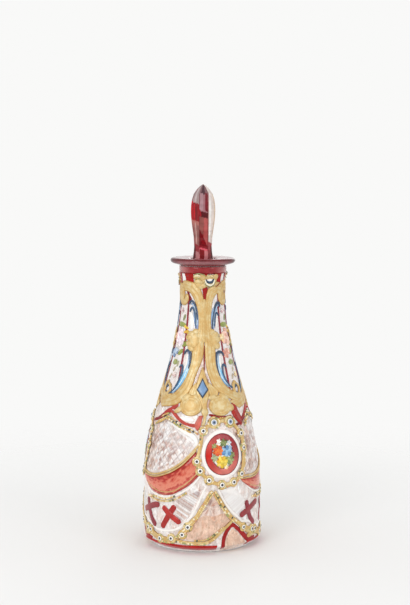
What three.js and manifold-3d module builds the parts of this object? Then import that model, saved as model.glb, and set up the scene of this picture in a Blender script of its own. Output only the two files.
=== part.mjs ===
// A stoppered flask of clear glass with a ruby overlay cut back to clear, raised gilding
// and painted enamel. Millimetres, +Z up, the flask stands on z = 0 and its front faces -Y.
import * as THREE from 'three';
import { mergeVertices } from 'three/addons/utils/BufferGeometryUtils.js';
import Module from 'manifold-3d';

const wasm = await Module();
wasm.setup();

// Blown blank
const neckTop = 203;
const footRadius = 36;
const footBevelHeight = 5;
const bodyRadius = 42.4;
const shoulderStart = 44;
const neckStart = 185;
const neckRadius = 16.7;
const wallThickness = 5;
const baseThickness = 9;
const boreRadius = 8;
const boreFlare = 0.9;

// Everted lip
const lipHeight = 5.6;
const lipRadius = 23.6;
const lipRound = 1.9;

// Stopper
const plugLength = 27;
const plugTaper = 0.7;
const plugClearance = 0.3;
const finialHeight = 53;
const finialHalfThickness = 8.8;
const finialHalfWidth = 16;
const stemHalfWidth = 7.3;
const finialRimBand = 7.3;

// Layers fired or ground onto the glass
const seatGap = 0.25;
const rubyThickness = 0.4;
const giltThickness = 0.6;
const enamelThickness = 0.5;
const bossRise = 1;
const layerStep = 0.15;

// Wheel cutting
const repeats = 3;
const panelRecess = 1.1;
const panelFootRise = 11;
const panelRunOut = 4;
const stepRun = 0.7;
const ridgeLeft = -39.5;
const broadPanel = 84;
const ridgeWidth = 2.4;
const grooveDepth = 1.3;
const grooveHalfWidth = 1.7;
const grooveSpacing = 7;
const diamondPanelAngle = -38.5;
const diamondPanelReach = 21;
const puntyRadius = 17;
const puntyDepth = 1.2;

// Medallion and swag
const medallionAngle = 21.5;
const medallionHeight = 71.3;
const medallionHalfWidth = 11.5;
const medallionHalfHeight = 12.3;
const medallionBand = 4.6;
const shoulderClearance = 1.95;
const wreathBand = 3.4;
const wreathBossWidth = 6.2;
const wreathSideGap = 4.7;
const wreathEndGap = 7.6;
const swagLine = 2.2;

// Ornament strokes
const archApexHeight = 21.5;
const archAngle = 31.5;
const archRise = 12;
const archRun = 28;
const crossWidth = 4.2;
const borderWidth = 3;
const borderHeight = 9.5;
const bellGap = 1.5;
const bellLineWidth = 2;
const hookWidth = 2.7;
const diamondHalfWidth = 4.3;
const diamondHalfHeight = 7;
const diamondAboveFoot = 26.5;
const scrollWidth = 5;
const lobeHalfWidth = 7.9;
const lobeHalfHeight = 6.6;
const lobeGap = 2.3;
const flowerHalfWidth = 5.5;
const flowerHalfHeight = 5;
const sprayWidth = 6.4;
const collarHeight = 5;
const shoulderLine = 2.2;

const columns = 60;
const neckRowHeight = 15;
const hollowSides = 24;
const turn = 360 / repeats;
const radians = Math.PI / 180;
const lipBottom = neckTop + seatGap;
const lipTop = lipBottom + lipHeight;
const giltLift = seatGap + rubyThickness + seatGap;

// The medallion sets the heights round it: the neck panels start above its ring and the shoulder
// line, the wreath goes round it, and the bell-shaped panels end below the wreath.
const collarFoot = neckTop - collarHeight;
const ringReach = medallionHalfHeight + medallionBand / 2;
const panelFootHeight = medallionHeight + ringReach + shoulderClearance + shoulderLine + seatGap + stepRun;
const wreathHalfWidth = medallionHalfWidth + medallionBand / 2 + wreathSideGap;
const wreathHalfHeight = ringReach + wreathEndGap;
const bellTop = medallionHeight - wreathHalfHeight - wreathBossWidth / 2 - bellGap;
const lobeHeight = medallionHeight + wreathHalfHeight + wreathBossWidth / 2 + lobeGap + lobeHalfHeight;
const diamondHeight = panelFootHeight + diamondAboveFoot;

// Ornament is drawn as [angle, share] points, the share in hundredths of the height of its zone.
const neckZone = [panelFootHeight, collarFoot];
const bellyZone = [borderHeight, panelFootHeight];
const bellZone = [borderHeight, bellTop];

function inZone([foot, top], points, k) {
  return points.map(([angle, share]) => [angle + k * turn, THREE.MathUtils.lerp(foot, top, share / 100)]);
}

// Radius of the blown blank: a straight bevelled foot, a full body and a long cosine shoulder.
function blankRadius(height) {
  if (height < footBevelHeight) {
    return footRadius + (bodyRadius - footRadius) * height / footBevelHeight;
  }
  const along = THREE.MathUtils.clamp((height - shoulderStart) / (neckStart - shoulderStart), 0, 1);
  return neckRadius + (bodyRadius - neckRadius) * (1 + Math.cos(Math.PI * along)) / 2;
}

// How far an angle lies across its neck panel: 0 on the middle line, 1 on the ridges.
function acrossPanel(angle) {
  const local = THREE.MathUtils.euclideanModulo(angle - ridgeLeft, turn);
  const narrow = turn - broadPanel;
  return local < broadPanel
    ? Math.abs(2 * local / broadPanel - 1)
    : Math.abs(2 * (local - broadPanel) / narrow - 1);
}

function panelFoot(angle) {
  return panelFootHeight + panelFootRise * acrossPanel(angle) ** 3;
}

function glassRadius(angle, height) {
  const above = THREE.MathUtils.smoothstep(height, panelFoot(angle) - stepRun, panelFoot(angle) + stepRun);
  const below = 1 - THREE.MathUtils.smoothstep(height, collarFoot - panelRunOut, collarFoot);
  return blankRadius(height) - panelRecess * above * below;
}

function onGlass(angle, height, lift) {
  const radius = glassRadius(angle, height) + lift;
  return new THREE.Vector3(radius * Math.sin(angle * radians), -radius * Math.cos(angle * radians), height);
}

// Closed solid from vertices and triangles
function solidFrom(points, faces) {
  const geometry = new THREE.BufferGeometry().setFromPoints(points);
  geometry.setIndex(faces);
  return solidOf(geometry);
}

function solidOf(geometry) {
  const bare = geometry.clone();
  bare.deleteAttribute('normal');
  bare.deleteAttribute('uv');
  const merged = mergeVertices(bare, 1e-4);
  return new wasm.Manifold(new wasm.Mesh({
    numProp: 3,
    vertProperties: merged.attributes.position.array,
    triVerts: new Uint32Array(merged.index.array),
  }));
}

function geometryOf(solid) {
  const mesh = solid.getMesh();
  const geometry = new THREE.BufferGeometry();
  geometry.setAttribute('position', new THREE.BufferAttribute(new Float32Array(mesh.vertProperties), 3));
  geometry.setIndex(new THREE.BufferAttribute(new Uint32Array(mesh.triVerts), 1));
  return geometry;
}

// Loft through level rings of equal count that run counter-clockwise from above, lowest first.
function loft(rings) {
  const count = rings[0].length;
  const points = rings.flat();
  const faces = [];
  for (let row = 0; row < rings.length - 1; row += 1) {
    for (let i = 0; i < count; i += 1) {
      const a = row * count + i;
      const b = row * count + (i + 1) % count;
      faces.push(a, b, b + count, a, b + count, a + count);
    }
  }
  const low = points.length;
  points.push(middleOf(rings[0]), middleOf(rings[rings.length - 1]));
  const last = (rings.length - 1) * count;
  for (let i = 0; i < count; i += 1) {
    const next = (i + 1) % count;
    faces.push(low, next, i, low + 1, last + i, last + next);
  }
  return solidFrom(points, faces);
}

function middleOf(ring) {
  return ring.reduce((sum, point) => sum.add(point), new THREE.Vector3()).divideScalar(ring.length);
}

function circle(radius, height, count) {
  return Array.from({ length: count }, (_, i) => {
    const angle = 2 * Math.PI * i / count;
    return new THREE.Vector3(radius * Math.sin(angle), -radius * Math.cos(angle), height);
  });
}

function lathe(profile, count) {
  const outline = profile.map(([radius, height]) => new THREE.Vector2(radius, height));
  const geometry = new THREE.LatheGeometry(outline, count);
  geometry.rotateX(Math.PI / 2);
  return solidOf(geometry);
}

// A smooth path over the glass through [angle, height] points
function pathThrough(points, steps, closed = false) {
  const curve = new THREE.CatmullRomCurve3(
    points.map(([angle, height]) => new THREE.Vector3(angle, height, 0)),
    closed,
    'centripetal',
  );
  const samples = curve.getPoints(steps).map((point) => [point.x, point.y]);
  return closed ? samples.slice(0, -1) : samples;
}

// A raised stroke: a band of even thickness that follows the glass, widths in millimetres
function stroke(path, width, lift, thickness, closed = false, lanes = 1) {
  const widthAt = Array.isArray(width) ? width : [width, width];
  const points = [];
  path.forEach(([angle, height], i) => {
    const before = path[closed ? (i + path.length - 1) % path.length : Math.max(i - 1, 0)];
    const after = path[closed ? (i + 1) % path.length : Math.min(i + 1, path.length - 1)];
    const radius = glassRadius(angle, height);
    const perDegree = radius * radians;
    const swing = THREE.MathUtils.euclideanModulo(after[0] - before[0] + 180, 360) - 180;
    const along = new THREE.Vector2(swing * perDegree, after[1] - before[1]).normalize();
    const share = i / (path.length - 1) * (widthAt.length - 1);
    const index = Math.min(Math.floor(share), widthAt.length - 2);
    const half = THREE.MathUtils.lerp(widthAt[index], widthAt[index + 1], share - index) / 2;
    for (const rise of [lift, lift + thickness]) {
      for (let lane = 0; lane <= lanes; lane += 1) {
        const side = half * (1 - 2 * lane / lanes);
        points.push(onGlass(angle - along.y * side / perDegree, height + along.x * side, rise));
      }
    }
  });
  return bandSolid(points, path.length, lanes, closed);
}

// A raised field across two or more paths of the same count, the upper edge first
function field(paths, lift, thickness, closed = false) {
  const points = [];
  paths[0].forEach((_, i) => {
    for (const rise of [lift, lift + thickness]) {
      paths.forEach((path) => points.push(onGlass(...path[i], rise)));
    }
  });
  return bandSolid(points, paths[0].length, paths.length - 1, closed);
}

function midway(first, second) {
  return first.map(([angle, height], i) => [(angle + second[i][0]) / 2, (height + second[i][1]) / 2]);
}

// Stitches the sections of a band, each with an inner and an outer row of lanes + 1 points
function bandSolid(points, sections, lanes, closed) {
  const row = lanes + 1;
  const section = 2 * row;
  const faces = [];
  const spans = closed ? sections : sections - 1;
  for (let i = 0; i < spans; i += 1) {
    const a = i * section;
    const b = ((i + 1) % sections) * section;
    for (let lane = 0; lane < lanes; lane += 1) {
      faces.push(a + lane, b + lane, b + lane + 1, a + lane, b + lane + 1, a + lane + 1);
      const c = a + row + lane;
      const d = b + row + lane;
      faces.push(c, d + 1, d, c, c + 1, d + 1);
    }
    faces.push(a, a + row, b + row, a, b + row, b);
    const e = a + lanes;
    const f = b + lanes;
    faces.push(e, f, f + row, e, f + row, e + row);
  }
  if (!closed) {
    const last = (sections - 1) * section;
    for (let lane = 0; lane < lanes; lane += 1) {
      faces.push(lane, lane + 1, lane + 1 + row, lane, lane + 1 + row, lane + row);
      const c = last + lane;
      faces.push(c, c + row + 1, c + 1, c, c + row, c + row + 1);
    }
  }
  return solidFrom(points, faces);
}

// An elliptical patch on the glass, half sizes in millimetres, its top swelling by a crown
function patch(angle, height, halfWidth, halfHeight, lift, thickness, crown = 0, sides = 16, rings = 2) {
  const perDegree = glassRadius(angle, height) * radians;
  const points = [onGlass(angle, height, lift), onGlass(angle, height, lift + thickness + crown)];
  for (const top of [0, 1]) {
    for (let ring = 1; ring <= rings; ring += 1) {
      const share = ring / rings;
      const swell = top * (thickness + crown * (1 - share * share));
      for (let i = 0; i < sides; i += 1) {
        const around = 2 * Math.PI * i / sides;
        const across = Math.cos(around) * halfWidth * share / perDegree;
        points.push(onGlass(angle + across, height + Math.sin(around) * halfHeight * share, lift + swell));
      }
    }
  }
  const faces = [];
  const topStart = 2 + rings * sides;
  for (let i = 0; i < sides; i += 1) {
    const next = (i + 1) % sides;
    faces.push(0, 2 + next, 2 + i, 1, topStart + i, topStart + next);
    for (let ring = 0; ring < rings - 1; ring += 1) {
      const a = 2 + ring * sides;
      const b = a + sides;
      faces.push(a + i, a + next, b + next, a + i, b + next, b + i);
      const c = topStart + ring * sides;
      const d = c + sides;
      faces.push(c + i, d + next, c + next, c + i, d + i, d + next);
    }
    const rim = 2 + (rings - 1) * sides;
    const rimTop = topStart + (rings - 1) * sides;
    faces.push(rim + i, rim + next, rimTop + next, rim + i, rimTop + next, rimTop + i);
  }
  return solidFrom(points, faces);
}

function joined(solids) {
  return solids.reduce((sum, solid) => sum.add(solid));
}

function shifted(points, angle) {
  return points.map(([pointAngle, height]) => [pointAngle + angle, height]);
}

// A wheel-cut mitre groove: a V section that runs out to nothing at both ends
function mitreCut(start, end) {
  const steps = 3;
  const outside = 1;
  const [startAngle, startHeight] = start;
  const [endAngle, endHeight] = end;
  const points = [];
  const faces = [];
  for (let i = 0; i <= steps; i += 1) {
    const share = i / steps;
    const angle = THREE.MathUtils.lerp(startAngle, endAngle, share);
    const height = THREE.MathUtils.lerp(startHeight, endHeight, share);
    const perDegree = glassRadius(angle, height) * radians;
    const along = new THREE.Vector2((endAngle - startAngle) * perDegree, endHeight - startHeight).normalize();
    const run = Math.sqrt(Math.max(1 - (2 * share - 1) ** 4, 0.01));
    const half = grooveHalfWidth * (run * grooveDepth + outside) / grooveDepth;
    points.push(onGlass(angle - along.y * half / perDegree, height + along.x * half, outside));
    points.push(onGlass(angle + along.y * half / perDegree, height - along.x * half, outside));
    points.push(onGlass(angle, height, -grooveDepth * run));
  }
  for (let i = 0; i < steps; i += 1) {
    for (let side = 0; side < 3; side += 1) {
      const a = 3 * i + side;
      const b = 3 * i + (side + 1) % 3;
      faces.push(a, b + 3, a + 3, a, b, b + 3);
    }
  }
  faces.push(0, 2, 1, 3 * steps, 3 * steps + 1, 3 * steps + 2);
  return solidFrom(points, faces);
}

// The diamond-cut panel: two crossing sets of mitres inside an ellipse between swag and shoulder
function diamondCuts(angle) {
  const [[, foot]] = inZone(bellyZone, [[angle, 60.7]], 0);
  const middle = (foot + panelFootHeight) / 2;
  const rise = (panelFootHeight - foot) / 2;
  const perDegree = glassRadius(angle, middle) * radians;
  const cuts = [];
  for (const lean of [1, -1]) {
    const count = Math.floor(diamondPanelReach / grooveSpacing);
    for (let i = -count; i <= count; i += 1) {
      const offset = i * grooveSpacing / diamondPanelReach;
      const half = Math.sqrt(Math.max(1 - offset * offset, 0));
      if (half < 0.3) continue;
      const end = (share) => {
        const x = (offset * Math.SQRT1_2 - lean * share * half * Math.SQRT1_2) * diamondPanelReach;
        const y = (offset * lean * Math.SQRT1_2 + share * half * Math.SQRT1_2) * rise;
        return [angle + x / perDegree, middle + y];
      };
      cuts.push(mitreCut(end(-1), end(1)));
    }
  }
  return cuts;
}

function glassBody() {
  const rings = [];
  const ring = (heightAt) => Array.from({ length: columns }, (_, i) => {
    const angle = ridgeLeft + 360 * i / columns;
    return onGlass(angle, heightAt(angle), 0);
  });
  const shoulderRows = 3;
  const panelTop = collarFoot - panelRunOut;
  const neckRows = Math.ceil((panelTop - panelFootHeight) / neckRowHeight);
  rings.push(ring(() => 0), ring(() => footBevelHeight));
  for (let i = 0; i <= shoulderRows; i += 1) {
    rings.push(ring((angle) => THREE.MathUtils.lerp(shoulderStart, panelFoot(angle) - stepRun, i / shoulderRows)));
  }
  for (let i = 0; i <= neckRows; i += 1) {
    rings.push(ring((angle) => THREE.MathUtils.lerp(panelFoot(angle) + stepRun, panelTop, i / neckRows)));
  }
  rings.push(ring(() => collarFoot), ring(() => neckTop));
  let body = loft(rings).subtract(hollow());
  const punty = lathe([
    [0, -1], [puntyRadius, -1], [puntyRadius, 0], [puntyRadius / 2, puntyDepth], [0, puntyDepth],
  ], hollowSides);
  body = body.subtract(punty);
  for (let k = 0; k < repeats; k += 1) {
    diamondCuts(diamondPanelAngle + k * turn).forEach((cut) => {
      body = body.subtract(cut);
    });
  }
  return body;
}

// Inside of the flask, from the rounded floor to the neck's ground bore
function hollow() {
  const profile = [[0, baseThickness]];
  const floorRound = 8;
  const innerRadius = bodyRadius - wallThickness;
  for (let i = 0; i <= 3; i += 1) {
    const angle = Math.PI / 2 * i / 3;
    const inset = floorRound * (1 - Math.sin(angle));
    profile.push([innerRadius - inset, baseThickness + floorRound * (1 - Math.cos(angle))]);
  }
  const rows = 7;
  for (let i = 0; i <= rows; i += 1) {
    const height = THREE.MathUtils.lerp(shoulderStart, neckStart, i / rows);
    const radius = boreRadius + (innerRadius - boreRadius) * (1 + Math.cos(Math.PI * i / rows)) / 2;
    profile.push([radius, height]);
  }
  profile.push([boreAt(neckTop), neckTop], [boreAt(neckTop), neckTop + 1], [0, neckTop + 1]);
  return lathe(profile, hollowSides);
}

// The ground bore widens a little towards the mouth, and the plug's taper matches it.
function boreAt(height) {
  const share = THREE.MathUtils.clamp((height - (lipTop - plugLength)) / plugLength, 0, 1);
  return boreRadius + boreFlare * share;
}

function neckLip() {
  const rim = [];
  for (let i = 0; i <= 3; i += 1) {
    const angle = -Math.PI / 2 + Math.PI * i / 3;
    rim.push([lipRadius - lipRound + lipRound * Math.cos(angle), lipTop - lipRound + lipRound * Math.sin(angle)]);
  }
  return lathe([
    [boreAt(lipBottom), lipBottom],
    [neckRadius, lipBottom],
    [neckRadius + 1.6, lipBottom + 0.8],
    ...rim,
    [boreAt(lipTop) + 4, lipTop - 0.5],
    [boreAt(lipTop), lipTop - 0.5],
    [boreAt(lipBottom), lipBottom],
  ], hollowSides);
}

// The stopper is one piece of glass: a faceted flat finial seen on its edge, a stem and a ground plug.
function stopper() {
  const count = 16;
  const rings = [];
  const plugFoot = lipTop - plugLength;
  const seatRadius = (height) => boreAt(height) - plugClearance;
  rings.push(circle(seatRadius(plugFoot) - plugTaper, plugFoot, count));
  rings.push(circle(seatRadius(plugFoot), plugFoot + plugTaper, count));
  rings.push(circle(seatRadius(lipTop), lipTop, count));
  const stations = [
    [0.04, 0.9, 0.9, 0], [0.2, 0.83, 1, 0], [0.36, 0.89, 1, 0.6], [0.54, 0.98, 1, 1],
    [0.66, 1, 1, 0.9], [0.77, 0.95, 1, 0.58], [0.87, 0.84, 1, 0.18], [0.94, 0.54, 0.62, 0],
  ];
  stations.forEach(([share, thick, stem, wide]) => {
    const half = THREE.MathUtils.lerp(stemHalfWidth * stem, finialHalfWidth, wide);
    rings.push(facetedRing(finialHalfThickness * thick, half, lipTop + finialHeight * share));
  });
  rings.push(facetedRing(1, 1, lipTop + finialHeight));
  return loft(rings);
}

// Eight-sided section with the middles of its sides as points, thickness along X and width along Y
function facetedRing(halfThickness, halfWidth, height) {
  const rim = Math.min(finialRimBand / 2, halfThickness * 0.5);
  const face = Math.max(halfWidth - (halfThickness - rim) * 1.1, halfWidth * 0.42);
  const corners = [
    [rim, -halfWidth], [halfThickness, -face], [halfThickness, face], [rim, halfWidth],
    [-rim, halfWidth], [-halfThickness, face], [-halfThickness, -face], [-rim, -halfWidth],
  ];
  const ring = [];
  corners.forEach(([x, y], i) => {
    const [beforeX, beforeY] = corners[(i + 7) % 8];
    ring.push(new THREE.Vector3((x + beforeX) / 2, (y + beforeY) / 2, height));
    ring.push(new THREE.Vector3(x, y, height));
  });
  return ring;
}

// Scalloped ruby line left where the neck panels end on the shoulder
function rubyShoulderLine() {
  const edge = (drop) => Array.from({ length: columns }, (_, i) => {
    const angle = ridgeLeft + 360 * i / columns;
    return [angle, panelFoot(angle) - stepRun - drop];
  });
  return field([edge(seatGap), edge(seatGap + shoulderLine)], seatGap, rubyThickness, true);
}

// Ruby overlay left standing on the neck: the collar and the ridges between panels
function rubyNeckFrame() {
  const collar = Array.from({ length: 30 }, (_, i) => [12 * i, collarFoot + collarHeight / 2]);
  const pieces = [stroke(collar, collarHeight, seatGap, rubyThickness, true)];
  for (let k = 0; k < repeats; k += 1) {
    for (const angle of [ridgeLeft + k * turn, ridgeLeft + broadPanel + k * turn]) {
      const foot = panelFoot(angle) + stepRun + seatGap;
      const line = Array.from({ length: 8 }, (_, i) => [
        angle,
        THREE.MathUtils.lerp(foot, collarFoot - panelRunOut, i / 7),
      ]);
      line.push([angle, collarFoot], [angle, collarFoot + collarHeight / 2]);
      pieces.push(stroke(line, [ridgeWidth * 1.6, ridgeWidth], seatGap, rubyThickness));
    }
  }
  return joined(pieces);
}

// Ruby band left on the foot's bevel between two arches
function rubyFootBand(k) {
  const start = archAngle + archRun + k * turn;
  const span = turn - archRise - archRun;
  const row = (height) => Array.from({ length: 13 }, (_, i) => [start + span * i / 12, height]);
  return field([row(footBevelHeight * 0.94), row(footBevelHeight * 0.2)], seatGap, rubyThickness);
}

// Ruby arch that climbs from the foot, steep on its left and drawn out on its right
function rubyArch(k) {
  const bottom = footBevelHeight + seatGap;
  const rise = archApexHeight - bottom;
  const angle = archAngle + k * turn;
  const stations = [[-archRise, 0, 0], [-archRise * 0.9, 0.35, 0.05], [-archRise * 0.6, 0.66, 0.4], [0, 1, 0.78],
    [archRun * 0.25, 0.8, 0.55], [archRun * 0.6, 0.4, 0.12], [archRun, 0.18, 0]];
  const edge = (share) => pathThrough(stations.map((station) => [
    angle + station[0] * (share === 2 ? 0.8 : 1),
    bottom + (share === 1 ? 0.6 : 0) + rise * station[share],
  ]), 12);
  return field([edge(1), edge(2)], seatGap, rubyThickness);
}

function rubySwag(k) {
  const edge = (points) => pathThrough(inZone(bellyZone, points, k), 12);
  const upper = edge([[-78, 52], [-62, 51.5], [-46, 53.4], [-30, 59], [-6, 78]]);
  const lower = edge([[-76, 50.3], [-60, 41], [-40, 38], [-20, 44], [-2, 59.5]]);
  return field([upper, midway(upper, lower), lower], seatGap, rubyThickness);
}

function ellipsePath(angle, height, halfWidth, halfHeight, steps) {
  const perDegree = glassRadius(angle, height) * radians;
  return Array.from({ length: steps }, (_, i) => {
    const around = 2 * Math.PI * i / steps;
    return [angle + halfWidth * Math.cos(around) / perDegree, height + halfHeight * Math.sin(around)];
  });
}

function medallionRing(k) {
  const angle = medallionAngle + k * turn;
  const path = ellipsePath(angle, medallionHeight, medallionHalfWidth, medallionHalfHeight, 24);
  return stroke(path, medallionBand, seatGap, rubyThickness, true);
}

function medallionGround(k) {
  const inset = medallionBand / 2 + 2 * seatGap;
  const halfWidth = medallionHalfWidth - inset;
  const angle = medallionAngle + k * turn;
  return patch(angle, medallionHeight, halfWidth, medallionHalfHeight - inset, seatGap, enamelThickness);
}

// A posy of three blooms and their leaves, modelled in relief on the medallion's ground
function medallionPosy(k) {
  const lift = seatGap + enamelThickness + seatGap;
  const perDegree = glassRadius(medallionAngle, medallionHeight) * radians;
  const blooms = [[-2.7, 3, 3.7], [3.3, 2.9, 3.7], [-0.4, -3.4, 3.7], [4.6, -2.4, 2.4], [-4.4, -1.2, 2.4]];
  return joined(blooms.map(([across, up, radius], i) => patch(
    medallionAngle + k * turn + across / perDegree,
    medallionHeight + up,
    radius,
    radius,
    lift + (i % 3) * layerStep,
    enamelThickness,
    bossRise,
    6,
    1,
  )));
}

// Raised gold round the medallion, scalloped at its bosses, and the gold line that edges the swag.
// The bosses are placed in shares of the wreath's half width and half height.
function giltWreath(k) {
  const around = [
    [-0.76, 0.75], [-0.28, 1], [0.45, 1], [0.92, 0.62], [1, 0.12], [0.96, -0.33], [0.76, -0.68],
    [0.4, -0.9], [-0.08, -0.96], [-0.55, -0.79], [-0.87, -0.5], [-0.98, -0.19], [-0.91, 0.3],
  ];
  const middle = medallionAngle + k * turn;
  const perDegree = glassRadius(middle, medallionHeight) * radians;
  const bosses = around.map(([across, up]) => [
    middle + across * wreathHalfWidth / perDegree,
    medallionHeight + up * wreathHalfHeight,
  ]);
  const ring = pathThrough(bosses, 3 * bosses.length, true).reverse();
  const scallops = ring.map((_, i) => (i % 3 === ring.length % 3 ? wreathBossWidth : wreathBand));
  const swagEdge = inZone(bellyZone, [[-76, 54.6], [-62, 54], [-46, 56], [-30, 62], [-15, 72]], k);
  const edge = pathThrough([...swagEdge, bosses[bosses.length - 1]], 10);
  return joined([
    stroke(ring, scallops, giltLift + 1.3 * layerStep, giltThickness + bossRise / 2, true),
    stroke(edge, swagLine, giltLift, giltThickness),
  ]);
}

// Raised gold along the foot, over each arch and up both sides of each bell-shaped panel
function giltFootBorder() {
  const foot = [];
  const steps = 15 * repeats;
  for (let i = 0; i < steps; i += 1) {
    const angle = 360 * i / steps;
    const local = THREE.MathUtils.euclideanModulo(angle - archAngle + turn / 2, turn) - turn / 2;
    const share = Math.max(1 - Math.abs(local) / (local < 0 ? archRise * 1.5 : archRun * 1.1), 0);
    foot.push([angle, borderHeight + (archApexHeight + borderWidth - borderHeight) * share ** 0.8]);
  }
  const pieces = [stroke(foot, borderWidth, giltLift, giltThickness, true)];
  for (let k = 0; k < repeats; k += 1) {
    const arch = [archAngle + k * turn, archApexHeight + borderWidth];
    const left = pathThrough(inZone(bellZone, [[8, 100], [3, 79], [-5, 50], [-13, 27], [-20, 0]], k), 7);
    const right = pathThrough([...inZone(bellZone, [[14, 100], [20, 76]], k), arch], 5);
    pieces.push(stroke(left, [bellLineWidth, borderWidth], giltLift + layerStep, giltThickness));
    pieces.push(stroke(right, [bellLineWidth, borderWidth], giltLift + layerStep, giltThickness));
  }
  return joined(pieces);
}

// A cross of two ruby bars left in the lens-shaped panel beside each bell
function rubyCross(bars, k) {
  return joined(bars.map((bar, i) => (
    stroke(pathThrough(inZone(bellZone, bar, k), 3), crossWidth, seatGap + i * layerStep, rubyThickness)
  )));
}

const crossPaths = {
  near: [[[-27, 71.5], [-41.5, 17]], [[-40, 67], [-31, 50], [-19.5, 34.5]]],
  far: [[[-70, 75.5], [-64, 53], [-53, 21.5]], [[-77, 45.5], [-64, 55.5], [-52, 65.5]]],
};

const hookPaths = {
  upper_left: [[-33, 79.4], [-22, 79.4], [-15, 72], [-13.5, 62.6]],
  upper_right: [[44, 78.5], [34, 76.6], [27, 70], [24, 62.6]],
  lower_left: [[-33, 47.2], [-25, 45.8], [-25, 37.4], [-32, 29], [-41, 20.6]],
  lower_right: [[42, 45], [33, 46.7], [28, 41], [31, 33.6], [37, 28.5], [44, 25.7]],
};

function blueHook(path, k, clearance = 0) {
  const width = hookWidth + 2 * clearance;
  const widths = [width * 0.7, width, width * 0.6];
  const lift = giltLift - 2 * clearance;
  return stroke(pathThrough(inZone(neckZone, path, k), 6), widths, lift, enamelThickness + 6 * clearance);
}

function blueDiamond(k, clearance = 0) {
  const angle = 0.5 + k * turn;
  const halfWidth = diamondHalfWidth + clearance;
  const halfHeight = diamondHalfHeight + clearance;
  const lift = giltLift - 2 * clearance;
  return patch(angle, diamondHeight, halfWidth, halfHeight, lift, enamelThickness + 6 * clearance, 0, 4, 1);
}

// Raised gold scrollwork on each broad neck panel: arms, stem, waist, legs and two lobes
function giltScroll(k) {
  const at = (points, steps) => pathThrough(inZone(neckZone, points, k), steps);
  const wide = (...shares) => shares.map((share) => share * scrollWidth);
  const low = [giltLift, giltThickness];
  const high = [giltLift + layerStep, giltThickness];
  const top = [giltLift + 2 * layerStep, giltThickness];
  const limb = wide(0.6, 1.05, 0.85, 0.95, 1.05, 1.1, 1.1, 1);
  const arms = [
    [[-48, 82.2], [-50, 88.8], [-40, 92.5], [-25, 90.7], [-10, 84], [-2, 72]],
    [[54, 83.2], [53, 89.7], [46, 92.5], [34, 88.8], [20, 81.3], [11, 72]],
  ];
  const legs = [
    [[-4, 62], [-9, 54.2], [-14, 44], [-19, 34.6], [-30, 24.3], [-46, 16.8], [-56, 15.4]],
    [[11, 62], [14, 54.2], [18, 44], [22, 34.6], [33, 25.2], [47, 19.6], [56, 17.8]],
  ];
  const strand = wide(1, 0.5, 0.8);
  const lobes = [-15, 22].map((angle) => angle + k * turn);
  const lobeSize = [lobeHeight, lobeHalfWidth, lobeHalfHeight];
  const strands = [[2, 0, -12], [4, 7, 18]].map(([start, middle, end], i) => [
    ...inZone(neckZone, [[start, 51.4], [middle, 38.3], [end, 24.3]], k),
    [lobes[i], lobeHeight],
  ]);
  const flower = inZone(neckZone, [[20, 93]], k)[0];
  const pieces = [
    stroke(at([...arms[0], ...legs[0]], 24), limb, ...low),
    stroke(at([...arms[1], ...legs[1]], 24), limb, ...low),
    stroke(at([[4, 79.4], [4, 64.5], [2, 55]], 3), wide(1.6, 1.7, 1.8), ...high, false, 2),
    field([
      at([[-31, 59], [-12, 62.6], [16, 62.6], [35, 59]], 6),
      at([[-31, 55], [-15, 48.6], [18, 48.6], [35, 55]], 6),
    ], ...top),
    stroke(pathThrough(strands[0], 4), strand, ...high),
    stroke(pathThrough(strands[1], 4), strand, ...top),
    patch(lobes[0], ...lobeSize, ...low, bossRise, 10, 1),
    patch(lobes[1], ...lobeSize, ...low, bossRise, 10, 1),
    stroke(pathThrough(lobes.map((angle) => [angle, lobeHeight]), 4), scrollWidth, ...top),
    patch(...flower, flowerHalfWidth, flowerHalfHeight, ...top, bossRise, 8, 1),
  ];
  let scroll = joined(pieces);
  Object.values(hookPaths).forEach((path) => {
    scroll = scroll.subtract(blueHook(path, k, seatGap));
  });
  return scroll.subtract(blueDiamond(k, seatGap));
}

// A painted spray of flowers down each narrow neck panel, swelling at every bloom
function neckSpray(k) {
  const angle = ridgeLeft - (turn - broadPanel) / 2 + turn;
  const blooms = [
    [0, 66.4], [2, 63.6], [-2, 58], [-3, 54.2], [1, 50.5], [3, 46.7], [0, 43], [-1, 39.3], [0, 36.4],
  ];
  const path = inZone(neckZone, shifted(blooms, angle), k);
  const widths = [0.2, 0.8, 0.25, 1, 0.3, 0.9, 0.25, 0.7, 0.2].map((share) => share * sprayWidth);
  return stroke(path, widths, seatGap, enamelThickness, false, 2);
}

const clearGlass = { color: 0xeef2f0, roughness: 0.05, metalness: 0 };
const rubyGlass = { color: 0x9c1420, roughness: 0.08, metalness: 0 };
const rawGold = { color: 0xdcb565, roughness: 0.5, metalness: 0.4 };
const blueEnamel = { color: 0x3f6fb0, roughness: 0.3, metalness: 0 };
const whiteEnamel = { color: 0xf3eee6, roughness: 0.35, metalness: 0 };
const posyEnamel = { color: 0xd88a4a, roughness: 0.4, metalness: 0 };

const flask = new THREE.Group();
const stopperGroup = new THREE.Group();

function addPiece(group, name, solid, finish) {
  const mesh = new THREE.Mesh(geometryOf(solid), new THREE.MeshStandardMaterial(finish));
  mesh.name = name;
  group.add(mesh);
}

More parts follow.
